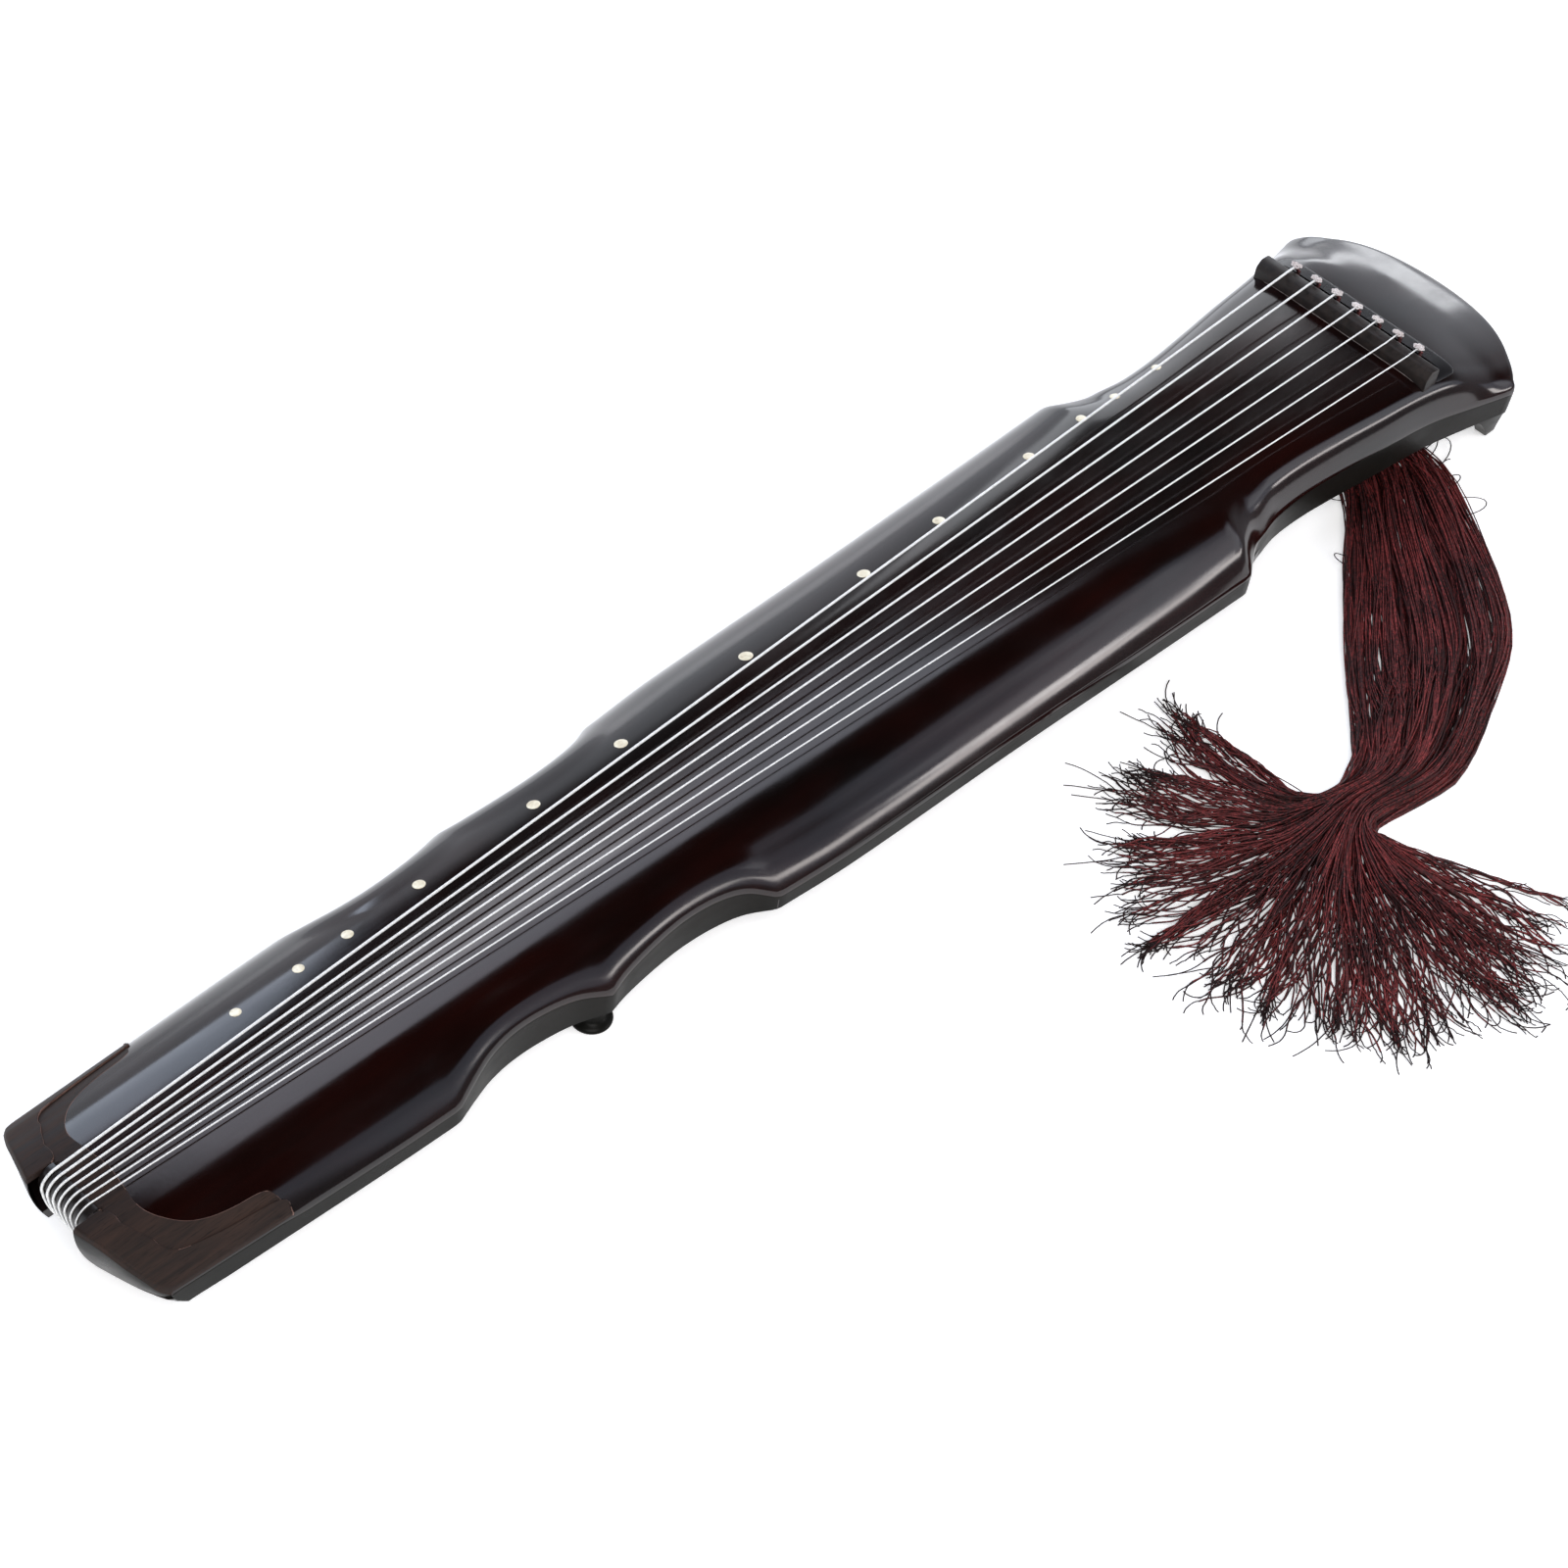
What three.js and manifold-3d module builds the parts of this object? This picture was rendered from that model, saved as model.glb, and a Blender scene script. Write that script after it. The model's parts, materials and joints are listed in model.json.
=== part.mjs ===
// A seven-string guqin, the Chinese zither, in millimetres with +Z up.
// X runs along the instrument with the head at +X, and +Y is the side of the studs.
// The origin is on the floor, under the middle of the instrument's length.
import * as THREE from 'three';
import { mergeVertices } from 'three/addons/utils/BufferGeometryUtils.js';
import Module from 'manifold-3d';

const wasm = await Module();
wasm.setup();

// Whole instrument
const stringLength = 1120;
const headReach = 130;
const tailReach = 16;
const footHeight = 28;
const shoulderHalfWidth = 101.7;
const crownHeight = 53;
const seam = 0.3;
const overrun = 20;

// Boards
const bottomThickness = 9;
const topThickness = 9;
const rimWidth = 12;
const tailHalfWidth = 74;
const tailBow = 1.5;
const headArcRadius = 125.5;
const headCornerSwell = 4.5;
const headCornerInset = 50;
const undercut = 11;
const undercutHeight = 42;
const headBlock = 62;
const tailBlock = 46;
const nayinDepth = 5;
const nayinBorder = 14;
const footBlock = 36;

// Sound holes and peg pool, seen from below
const dragonPoolShare = 0.3393;
const dragonPoolLength = 204;
const phoenixPondShare = 0.8277;
const phoenixPondLength = 112;
const poolWidth = 25;
const pegPoolLength = 146;
const pegPoolWidth = 40;
const pegPoolCeiling = 24;
const pegPlateThickness = 4;

// Bridge and the plate behind it
const bridgeRise = 12;
const bridgeDepth = 14.5;
const bridgeFront = 5;
const bridgeHalfLength = 79;
const bridgeSeat = 3;
const bridgeChamfer = 3.5;
const bridgeBackDrop = 2.4;
const plateDepth = 25;
const plateHalfLength = 80;
const plateRise = 2;
const plateSeat = 3;
const plateCornerRadius = 6;

// Strings and windings
const stringCount = 7;
const bridgeSpread = 113.2;
const nutSpread = 29.6;
const thickestString = 1.75;
const thinnestString = 1;
const knotLength = 5.4;
const knotWidth = 8.6;
const knotHeight = 5.2;
const knotBack = 12.4;
const knotLift = 1.6;
const stringsOnFarFoot = 4;
const turnsOnFoot = 1.5;
const turnGap = 0.5;
const windingClearance = 0.5;
const windingStart = 3.5;

// Nut, chin and the pieces round the tail
const nutHalfWidth = 20;
const nutRadius = 9.6;
const nutRise = 2.8;
const nutDepth = 10.7;
const nutLip = 1.1;
const nutHeight = 23;
const chinDepth = 23.4;
const chinDrop = 1.8;
const chinRound = 4;
const bandDepth = 6;
const cornerRise = 2;
const cornerSeat = 2.3;

// Feet and guards
const footShare = 0.7045;
const footSpacing = 120;
const footNeckRadius = 8;
const footBaseRadius = 13.5;
const footTenon = 11;
const footTenonLength = 20;
const guardInset = 77;
const guardThickness = 12;
const guardTaper = 1.6;
const guardFootSpan = 98.6;
const guardTopLength = 30;
const guardLean = 25;
const guardReach = 9;

// Pegs and their cords
const pegBack = 19;
const pegFlangeRadius = 7;
const pegWaistRadius = 4.6;
const pegGripRadius = 6.3;
const pegBore = 2.2;
const pegClearance = 6;
const cordDiameter = 2.6;
const cordHole = 2;

// Posts between the boards
const heavenPostShare = 0.192;
const heavenPostRadius = 7.5;
const earthPostShare = 0.5804;
const earthPostWidth = 14;
const postClearance = 0.4;

// Studs
const studRadius = 4.8;
const studThickness = 1.4;
const studProud = 0.15;
const studRow = 62.1;
const studDrift = 28.5;

const bodyLength = stringLength + headReach + tailReach;
const bridgeX = bodyLength / 2 - headReach;
const nutX = bridgeX - stringLength;
const tailX = -bodyLength / 2;
const headX = bodyLength / 2;
const boardZ = footHeight;
const lidZ = boardZ + bottomThickness + seam;
const topZ = boardZ + crownHeight + overrun;
const pegX = bridgeX + pegBack;
const placeOf = (share) => bridgeX - share * stringLength;
const dragonPoolX = placeOf(dragonPoolShare);
const phoenixPondX = placeOf(phoenixPondShare);
const footX = placeOf(footShare);
const heavenPostX = placeOf(heavenPostShare);
const earthPostX = placeOf(earthPostShare);
const cavityHeadX = bridgeX - headBlock;
const cavityTailX = tailX + tailBlock;
const guardX = headX - guardInset;
const pegPlateZ = boardZ + pegPoolCeiling - pegPlateThickness;

// Half width of the plan outline, as shares of the string length from the bridge
// towards the nut and of the shoulder's half width, corner to corner
const tailSideShares = [[0.9911, 0.707], [0.9464, 0.7296], [0.8571, 0.7738], [0.8152, 0.7876]];
const waistTailShares = [[0.8152, 0.7876], [0.7991, 0.7257], [0.7857, 0.6824], [0.7696, 0.6598],
  [0.75, 0.6657], [0.7277, 0.704], [0.708, 0.7778]];
const waistHeadShares = [[0.708, 0.7778], [0.6946, 0.7434], [0.6696, 0.7099], [0.6473, 0.6991],
  [0.625, 0.7188], [0.6071, 0.767], [0.5902, 0.8663]];
const backShares = [[0.5902, 0.8663], [0.5357, 0.9066], [0.4018, 0.9341], [0.2679, 0.9794], [0.1946, 1]];
const headCornerShare = (headCornerInset - headReach) / stringLength;
const neckShares = [[0.1946, 1], [0.175, 0.8574], [0.1607, 0.8171], [0.1429, 0.7768], [0.1161, 0.7709],
  [0.0804, 0.8004], [0.0446, 0.8417], [0, 0.8918], [headCornerShare * 0.625, 0.9843], [headCornerShare, 1.0452]];

// The blank before its waists are cut: half width, crown height and edge height
const blankShares = [[1.0179, 0.7227], [0.8152, 0.7876], [0.5902, 0.8663], [0.5357, 0.9066],
  [0.4018, 0.9341], [0.2679, 0.9794], [0.1946, 1], [-0.0714, 1.0295], [-0.1179, 1.0423]];
const crownShares = [[1.0179, 0.8547], [1, 0.8642], [0.875, 0.8962], [0.4018, 0.9623], [0.0893, 1],
  [0, 0.9717], [-0.0312, 0.9151], [-0.0536, 0.8491], [-0.0759, 0.7453], [-0.0938, 0.6377],
  [-0.1071, 0.5528], [-0.1179, 0.4717]];
const edgeShares = [[1.0179, 0.3094], [0.8152, 0.2943], [0.5902, 0.266], [0.4018, 0.2962],
  [0.1946, 0.3189], [0.175, 0.39], [0.15, 0.45], [0.1161, 0.49], [0.06, 0.51], [0, 0.48],
  [-0.0351, 0.42], [-0.0714, 0.3868], [-0.1179, 0.3774]];
const archRollShare = 1.2;
const archFlatnessShares = [[0.55, 3.4], [0.4, 3.6], [0.25, 5], [0.1946, 7], [0.12, 11], [0, 14],
  [-0.0268, 12], [-0.0446, 7], [-0.0625, 4.5], [-0.1179, 3.4]];
const bridgeHeight = crownHeight * smooth(crownShares, 0) + bridgeRise;
const nutTop = crownHeight * smooth(crownShares, 1) + nutRise;

// The bowed tail end, the band's inner edge and the corner plates' ridge, as shares of
// the tail's half width measured from the tail end and from the middle line
const tailEndShares = [[0, 0], [0.0203, 0.2784], [0.0541, 0.4054], [0.1014, 0.5608], [0.1554, 0.7162],
  [0.223, 0.8514], [0.277, 0.9257], [0.3446, 0.9676]];
const bandEdgeShares = [[0.527, 0], [0.4865, 0.2838], [0.4784, 0.3892], [0.5, 0.477], [0.5581, 0.5676],
  [0.6892, 0.6824], [0.8568, 0.7527], [1.0541, 0.7905], [1.2446, 0.8068], [1.3419, 0.8378],
  [1.423, 1.0189]];
const ridgeShares = [[0.2297, 0.2784], [0.2716, 0.3176], [0.2919, 0.3784], [0.2919, 0.4554],
  [0.3162, 0.5041], [0.3595, 0.5919], [0.4068, 0.6662], [0.4257, 0.7284], [0.4878, 0.7959],
  [0.5703, 0.8297], [0.8932, 0.877], [1.3649, 0.9216], [1.423, 1.0189]];

// Where the studs sit on the string, from the bridge, and their sizes
const studPlaceShares = [1 / 8, 1 / 6, 1 / 5, 1 / 4, 1 / 3, 2 / 5, 1 / 2, 3 / 5, 2 / 3, 3 / 4, 4 / 5, 5 / 6, 7 / 8];
const studSizeShares = [0.74, 0.77, 0.8, 0.86, 0.9, 0.94, 1, 0.94, 0.9, 0.86, 0.8, 0.77, 0.74];

const lacquer = { color: 0x17090b, roughness: 0.16, metalness: 0 };
const underLacquer = { color: 0x1d0f0e, roughness: 0.35, metalness: 0 };
const rosewood = { color: 0x3b211b, roughness: 0.5, metalness: 0 };
const ebony = { color: 0x151213, roughness: 0.4, metalness: 0 };
const softwood = { color: 0xa77e52, roughness: 0.7, metalness: 0 };
const shell = { color: 0xe6e2da, roughness: 0.3, metalness: 0 };
const silk = { color: 0xd9d8d6, roughness: 0.4, metalness: 0 };
const knotSilk = { color: 0xe9e6e4, roughness: 0.75, metalness: 0 };
const wineYarn = { color: 0x5d1f2c, roughness: 0.85, metalness: 0 };

const group = new THREE.Group();

function add(name, geometry, look) {
  const material = new THREE.MeshStandardMaterial(look);
  const mesh = new THREE.Mesh(geometry, material);
  mesh.name = name;
  group.add(mesh);
}

// Closed solids and cuts
function solid(geometry) {
  const bare = geometry.clone();
  bare.deleteAttribute('normal');
  bare.deleteAttribute('uv');
  const merged = mergeVertices(bare);
  const count = merged.attributes.position.count;
  const index = merged.index ? merged.index.array : Uint32Array.from({ length: count }, (_, i) => i);
  const mesh = new wasm.Mesh({
    numProp: 3,
    vertProperties: new Float32Array(merged.attributes.position.array),
    triVerts: new Uint32Array(index),
  });
  return new wasm.Manifold(mesh);
}

function geometryOf(manifold) {
  const mesh = manifold.getMesh();
  const geometry = new THREE.BufferGeometry();
  geometry.setAttribute('position', new THREE.BufferAttribute(new Float32Array(mesh.vertProperties), 3));
  geometry.setIndex(new THREE.BufferAttribute(new Uint32Array(mesh.triVerts), 1));
  return geometry;
}

function capFaces(ring, flat) {
  if (!flat) {
    return ring.slice(2).map((_, i) => [0, i + 1, i + 2]);
  }
  const outline = ring.map(flat);
  const turn = Math.sign(THREE.ShapeUtils.area(outline));
  return THREE.ShapeUtils.triangulateShape(outline, []).map((face) => {
    const own = Math.sign(THREE.ShapeUtils.area(face.map((i) => outline[i])));
    return own === turn ? face : [face[0], face[2], face[1]];
  });
}

// A skin over rings of equally many points, closed at both ends
function loft(rings, flat) {
  const count = rings[0].length;
  const faces = [];
  for (let i = 0; i + 1 < rings.length; i += 1) {
    for (let j = 0; j < count; j += 1) {
      const a = i * count + j;
      const b = i * count + (j + 1) % count;
      faces.push([a, b, b + count], [a, b + count, a + count]);
    }
  }
  const last = (rings.length - 1) * count;
  capFaces(rings[0], flat).forEach(([a, b, c]) => faces.push([c, b, a]));
  capFaces(rings[rings.length - 1], flat).forEach(([a, b, c]) => faces.push([last + a, last + b, last + c]));
  const points = rings.flat();
  const volume = faces.reduce((sum, [a, b, c]) => {
    const normal = new THREE.Vector3().crossVectors(points[b], points[c]);
    return sum + points[a].dot(normal);
  }, 0);
  const turned = volume < 0 ? faces.map(([a, b, c]) => [a, c, b]) : faces;
  const geometry = new THREE.BufferGeometry();
  geometry.setAttribute('position', new THREE.Float32BufferAttribute(points.flatMap((p) => p.toArray()), 3));
  geometry.setIndex(turned.flat());
  return geometry;
}

// A straight prism over a plan outline, between two heights
function prism(outline, low, high) {
  const shape = new THREE.Shape(outline.map(([x, y]) => new THREE.Vector2(x, y)));
  const geometry = new THREE.ExtrudeGeometry(shape, { depth: high - low, bevelEnabled: false });
  geometry.translate(0, 0, low);
  return solid(geometry);
}

function mirrored(half) {
  const near = half.filter(([, y]) => y > 0).map(([x, y]) => [x, -y]).reverse();
  return [...near, ...half];
}

// A long slot with round ends, or a rectangle with round corners, in plan
function roundedPlan(x, y, length, width, radius, steps) {
  const points = [];
  const corners = [[1, 1], [-1, 1], [-1, -1], [1, -1]];
  corners.forEach(([sx, sy], quarter) => {
    for (let i = 0; i <= steps; i += 1) {
      const angle = (quarter + i / steps) * Math.PI / 2;
      const cx = x + sx * (length / 2 - radius);
      const cy = y + sy * (width / 2 - radius);
      points.push([cx + radius * Math.cos(angle), cy + radius * Math.sin(angle)]);
    }
  });
  return points.filter(([px, py], i) => {
    const [qx, qy] = points[(i + 1) % points.length];
    return Math.hypot(px - qx, py - qy) > seam / 10;
  });
}

function post(radius, sides, x, y, low, high) {
  const geometry = new THREE.CylinderGeometry(radius, radius, high - low, sides);
  geometry.rotateX(Math.PI / 2);
  geometry.translate(x, y, (low + high) / 2);
  return solid(geometry);
}

function block(x0, x1, y0, y1, z0, z1) {
  const geometry = new THREE.BoxGeometry(x1 - x0, y1 - y0, z1 - z0);
  geometry.translate((x0 + x1) / 2, (y0 + y1) / 2, (z0 + z1) / 2);
  return solid(geometry);
}

// A smooth curve through a table of shares, as a value over a place
function smooth(table, place) {
  const rising = table[0][0] < table[table.length - 1][0];
  const rows = rising ? table : [...table].reverse();
  const last = rows.length - 1;
  const at = Math.min(Math.max(place, rows[0][0]), rows[last][0]);
  let i = 0;
  while (i < last - 1 && at > rows[i + 1][0]) {
    i += 1;
  }
  const slope = (k) => {
    const a = rows[Math.max(k - 1, 0)];
    const b = rows[Math.min(k + 1, last)];
    return (b[1] - a[1]) / (b[0] - a[0]);
  };
  const span = rows[i + 1][0] - rows[i][0];
  const t = (at - rows[i][0]) / span;
  const blend = t * t * (3 - 2 * t);
  const rise = rows[i][1] * (1 - blend) + rows[i + 1][1] * blend;
  const lead = t * (1 - t) * (1 - t) * slope(i) * span;
  const trail = t * t * (1 - t) * slope(i + 1) * span;
  return rise + lead - trail;
}

const shareAt = (x) => (bridgeX - x) / stringLength;
const blankHalfWidth = (x) => shoulderHalfWidth * smooth(blankShares, shareAt(x));
const neckHalfWidth = (x) => shoulderHalfWidth * smooth(neckShares, shareAt(x));
const archHalfWidth = (x) => (shareAt(x) < neckShares[0][0] ? neckHalfWidth(x) : blankHalfWidth(x));
const crownAt = (x) => boardZ + crownHeight * smooth(crownShares, shareAt(x));
const edgeAt = (x) => boardZ + crownHeight * smooth(edgeShares, shareAt(x));

// The arched top's height at a place in plan
function topAt(x, y) {
  const share = Math.min(1, Math.abs(y) / archHalfWidth(x));
  const arch = (1 - share ** smooth(archFlatnessShares, shareAt(x))) ** archRollShare;
  return edgeAt(x) + (crownAt(x) - edgeAt(x)) * arch;
}

// One half of the plan outline, from the tail to the head, over the far side
function sideRun(table, steps) {
  const [from, to] = [table[0][0], table[table.length - 1][0]];
  const points = [];
  for (let i = 0; i < steps; i += 1) {
    const share = from + (to - from) * i / steps;
    points.push([placeOf(share), shoulderHalfWidth * smooth(table, share)]);
  }
  return points;
}

function headRun() {
  const centre = headX - headArcRadius;
  const cornerAngle = Math.PI * 0.285;
  const onArc = (angle) => {
    const radius = headArcRadius + headCornerSwell * (angle / cornerAngle) ** 3;
    return [centre + radius * Math.cos(angle), radius * Math.sin(angle)];
  };
  const corner = [placeOf(neckShares[9][0]), shoulderHalfWidth * neckShares[9][1]];
  const start = onArc(cornerAngle);
  const rounding = plateCornerRadius / 4;
  const bulge = [(corner[0] + start[0]) / 2 + rounding, (corner[1] + start[1]) / 2 + rounding];
  const points = [corner, bulge];
  const steps = 9;
  for (let i = 0; i <= steps; i += 1) {
    points.push(onArc(cornerAngle * (1 - i / steps)));
  }
  return points;
}

function tailRun() {
  return tailEndShares.map(([x, y]) => [tailX - tailBow + x * tailHalfWidth, y * tailHalfWidth]);
}

function planHalf() {
  return [...tailRun(), ...sideRun(tailSideShares, 3), ...sideRun(waistTailShares, 11),
    ...sideRun(waistHeadShares, 12), ...sideRun(backShares, 5), ...sideRun(neckShares, 15), ...headRun()];
}

// The side wall's ring at one height: the ends draw in below their top edge
function wallRing(height, inset) {
  const outline = mirrored(planHalf());
  return outline.map(([x, y]) => {
    const end = x < 0 ? tailX : headX;
    const reach = Math.abs(x - end);
    const near = Math.max(0, 1 - Math.max(0, reach - rimWidth * 3) / (rimWidth * 2));
    const corner = x < 0 ? 1 : 1 - 0.7 * (y / shoulderHalfWidth) ** 2;
    const edge = Math.min(topAt(x, y) - boardZ, undercutHeight);
    const depth = Math.max(0, (edge - (height - boardZ)) / edge) ** 1.8;
    const shift = undercut * depth * near * corner;
    const side = Math.max(0, Math.abs(y) - inset);
    return new THREE.Vector3(x + shift * (x < 0 ? 1 : -1), Math.sign(y) * side, height);
  });
}

function wall(heights) {
  const rings = heights.map((height) => wallRing(height, 0));
  return solid(loft(rings, (p) => new THREE.Vector2(p.x, p.y)));
}

// Everything below the arched surface, or below it by a depth
const lengthShares = [1.0179, 1.003, 0.975, 0.93, 0.8152, 0.708, 0.6, 0.5, 0.4018, 0.3, 0.1946, 0.1429,
  0.0893, 0.04, 0, -0.0161, -0.0312, -0.0536, -0.0759, -0.0938, -0.1071, -0.1179];
const crossShares = [0, 0.2, 0.36, 0.5, 0.61, 0.7, 0.78, 0.85, 0.91, 0.96, 1, 1.03];

function underArch(depth, low, places) {
  const across = [...[...crossShares].reverse().map((s) => -s), ...crossShares.slice(1)].reverse();
  const rings = places.map((share) => {
    const x = placeOf(share);
    const half = blankHalfWidth(x);
    const top = across.map((s) => new THREE.Vector3(x, s * half, Math.max(topAt(x, s * half) - depth, low + seam)));
    const wide = crossShares[crossShares.length - 1] * half;
    return [new THREE.Vector3(x, -wide, low), new THREE.Vector3(x, wide, low), ...top];
  });
  return solid(loft(rings, (p) => new THREE.Vector2(p.y, p.z)));
}

// What lies above a depth under the arched surface, inside a plan outline
function above(outline, depth) {
  const column = prism(outline, boardZ - overrun, topZ + overrun);
  return column.subtract(underArch(depth, boardZ - overrun * 2, lengthShares));
}

function grown(outline, by) {
  const count = outline.length;
  const area = THREE.ShapeUtils.area(outline.map(([x, y]) => new THREE.Vector2(x, y)));
  const side = Math.sign(area);
  return outline.map(([x, y], i) => {
    const [px, py] = outline[(i + count - 1) % count];
    const [nx, ny] = outline[(i + 1) % count];
    const before = new THREE.Vector2(y - py, px - x).normalize();
    const after = new THREE.Vector2(ny - y, x - nx).normalize();
    const middle = before.clone().add(after).normalize();
    const reach = by * side / Math.max(middle.dot(after), 0.5);
    return [x + middle.x * reach, y + middle.y * reach];
  });
}

// Plan outlines of the pieces let into the top
function bandOutline() {
  const inner = bandEdgeShares.map(([x, y]) => [tailX + x * tailHalfWidth, y * tailHalfWidth]);
  const far = tailX - overrun;
  const end = inner[inner.length - 1][0];
  const wide = tailHalfWidth + overrun;
  return [[far, -wide], [end, -wide], ...mirrored(inner), [end, wide], [far, wide]];
}

function cornerOutline(side) {
  const inner = ridgeShares.map(([x, y]) => [tailX + x * tailHalfWidth, side * y * tailHalfWidth]);
  const far = tailX - overrun;
  const [endX] = inner[inner.length - 1];
  const wide = side * (tailHalfWidth + overrun);
  return [[far, inner[0][1]], ...inner, [endX, wide], [far, wide]];
}

const bridgeBackX = bridgeX - bridgeFront + bridgeDepth;
const plateX = bridgeBackX + seam + plateDepth / 2;
const plateOutline = () => roundedPlan(plateX, 0, plateDepth, plateHalfLength * 2, plateCornerRadius, 4);
const bridgeOutline = () => roundedPlan(bridgeBackX - bridgeDepth / 2, 0, bridgeDepth, bridgeHalfLength * 2, bridgeChamfer, 2);
const pegPoolOutline = (by) => roundedPlan(pegX, 0, pegPoolWidth + by, pegPoolLength + by, plateCornerRadius, 3);
const poolOutline = (x, length, by) => roundedPlan(x, 0, length + by, poolWidth + by, (poolWidth + by) / 2, 5);

const stringShare = (i) => 0.5 - i / (stringCount - 1);
const bridgeY = (i) => bridgeSpread * stringShare(i);
const nutY = (i) => nutSpread * stringShare(i);
const noteRadius = (i) => (thickestString + (thinnestString - thickestString) * i / (stringCount - 1)) / 2;

// The tail's end face in the notch, where the strings run down
const notchX = nutX + nutLip;
const nutFaceX = notchX - seam - nutDepth;
function faceX(height) {
  const depth = Math.max(0, (undercutHeight - (height - boardZ)) / undercutHeight);
  return nutFaceX + undercut * depth ** 1.8;
}

// Hidden hollow between the boards, with a thicker roof over each sound hole
function cavity() {
  const places = lengthShares.filter((share, i) => i % 2 === 0 || share > 0.9);
  const roof = underArch(topThickness, lidZ - overrun, places);
  const rim = planHalf().filter(([x]) => x > cavityTailX && x < cavityHeadX).map(([x, y]) => [x, y - rimWidth]);
  const ends = [[cavityTailX, rim[0][1]], ...rim, [cavityHeadX, rim[rim.length - 1][1]]];
  const outline = [...ends.map(([x, y]) => [x, -y]).reverse(), ...ends];
  let hollow = prism(outline, lidZ - overrun / 2, topZ).intersect(roof);
  [[dragonPoolX, dragonPoolLength], [phoenixPondX, phoenixPondLength]].forEach(([x, length]) => {
    const thick = above(poolOutline(x, length, nayinBorder * 2), topThickness + nayinDepth);
    hollow = hollow.subtract(thick);
  });
  [1, -1].forEach((side) => {
    const y = side * footSpacing / 2;
    const half = footBlock / 2;
    hollow = hollow.subtract(block(footX - half, footX + half, y - half, y + half, boardZ, topZ));
  });
  return hollow;
}

function notch(gap) {
  const far = tailX - overrun;
  const half = nutHalfWidth + gap;
  const nutSlot = block(far, notchX, -half, half, boardZ - overrun, topZ);
  const chinSlot = block(far, notchX - nutDepth + chinDepth, -half, half, boardZ - overrun, nutFloorZ);
  return nutSlot.add(chinSlot);
}

const nutFloorZ = boardZ + nutTop - nutHeight;

function sockets(width) {
  const half = width / 2;
  const cuts = [1, -1].map((side) => {
    const y = side * footSpacing / 2;
    const top = boardZ + footTenonLength + seam;
    return block(footX - half, footX + half, y - half, y + half, boardZ - overrun, top);
  });
  return cuts[0].add(cuts[1]);
}

function cordHoles(radius, low, high) {
  const cuts = [];
  for (let i = 0; i < stringCount; i += 1) {
    cuts.push(post(radius, 8, pegX, bridgeY(i), low, high));
  }
  return cuts.reduce((all, cut) => all.add(cut));
}

// Where a stud lies on the arch and which way it faces
function studFrame(i) {
  const x = placeOf(studPlaceShares[i]);
  const y = studRow - studDrift * studPlaceShares[i];
  const step = studRadius / 2;
  const slopeX = (topAt(x + step, y) - topAt(x - step, y)) / (step * 2);
  const slopeY = (topAt(x, y + step) - topAt(x, y - step)) / (step * 2);
  const facing = new THREE.Vector3(-slopeX, -slopeY, 1).normalize();
  return { at: new THREE.Vector3(x, y, topAt(x, y)), facing, radius: studRadius * studSizeShares[i] };
}

function studDisc(i, grow, low, high) {
  const { at, facing, radius } = studFrame(i);
  const geometry = new THREE.CylinderGeometry(radius + grow, radius + grow, high - low, 12);
  geometry.translate(0, (low + high) / 2, 0);
  geometry.applyQuaternion(new THREE.Quaternion().setFromUnitVectors(new THREE.Vector3(0, 1, 0), facing));
  geometry.translate(at.x, at.y, at.z);
  return geometry;
}

function topBoard() {
  const sideHeights = [lidZ, boardZ + crownHeight / 3, boardZ + crownHeight / 2, boardZ + undercutHeight, topZ];
  let body = wall(sideHeights).intersect(underArch(0, boardZ - overrun, lengthShares));
  body = body.subtract(cavity());
  body = body.subtract(notch(seam));
  body = body.subtract(above(grown(bandOutline(), seam), bandDepth + seam));
  body = body.subtract(above(grown(bridgeOutline(), seam), bridgeSeat + seam));
  body = body.subtract(above(grown(plateOutline(), seam), plateSeat + seam));
  body = body.subtract(prism(pegPoolOutline(0), boardZ - overrun, boardZ + pegPoolCeiling + seam));
  body = body.subtract(cordHoles(cordHole, boardZ, topZ));
  body = body.subtract(sockets(footTenon + seam * 2));
  studPlaceShares.forEach((share, i) => {
    body = body.subtract(solid(studDisc(i, seam, -studThickness - seam, overrun / 2)));
  });
  return geometryOf(body);
}

function bottomBoard() {
  let board = wall([boardZ, lidZ - seam]);
  board = board.subtract(prism(poolOutline(dragonPoolX, dragonPoolLength, 0), boardZ - overrun, lidZ + overrun));
  board = board.subtract(prism(poolOutline(phoenixPondX, phoenixPondLength, 0), boardZ - overrun, lidZ + overrun));
  board = board.subtract(prism(pegPoolOutline(0), boardZ - overrun, lidZ + overrun));
  board = board.subtract(notch(seam));
  board = board.subtract(sockets(footTenon + seam * 2));
  return geometryOf(board);
}

function skin(outline, rise, depth) {
  const body = wall([lidZ, boardZ + crownHeight / 3, boardZ + crownHeight / 2, boardZ + undercutHeight, topZ]);
  const places = lengthShares.filter((share) => share > 0.8);
  return body.intersect(underArch(-rise, boardZ - overrun, places)).intersect(above(outline, depth));
}

function tailBand() {
  let band = skin(bandOutline(), 0, bandDepth);
  band = band.subtract(notch(seam));
  [1, -1].forEach((side) => {
    band = band.subtract(above(grown(cornerOutline(side), seam), cornerSeat + seam));
  });
  return geometryOf(band);
}

function tailCorner(side) {
  const plate = skin(cornerOutline(side), cornerRise, cornerSeat);
  return geometryOf(plate.subtract(notch(seam)));
}

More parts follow.
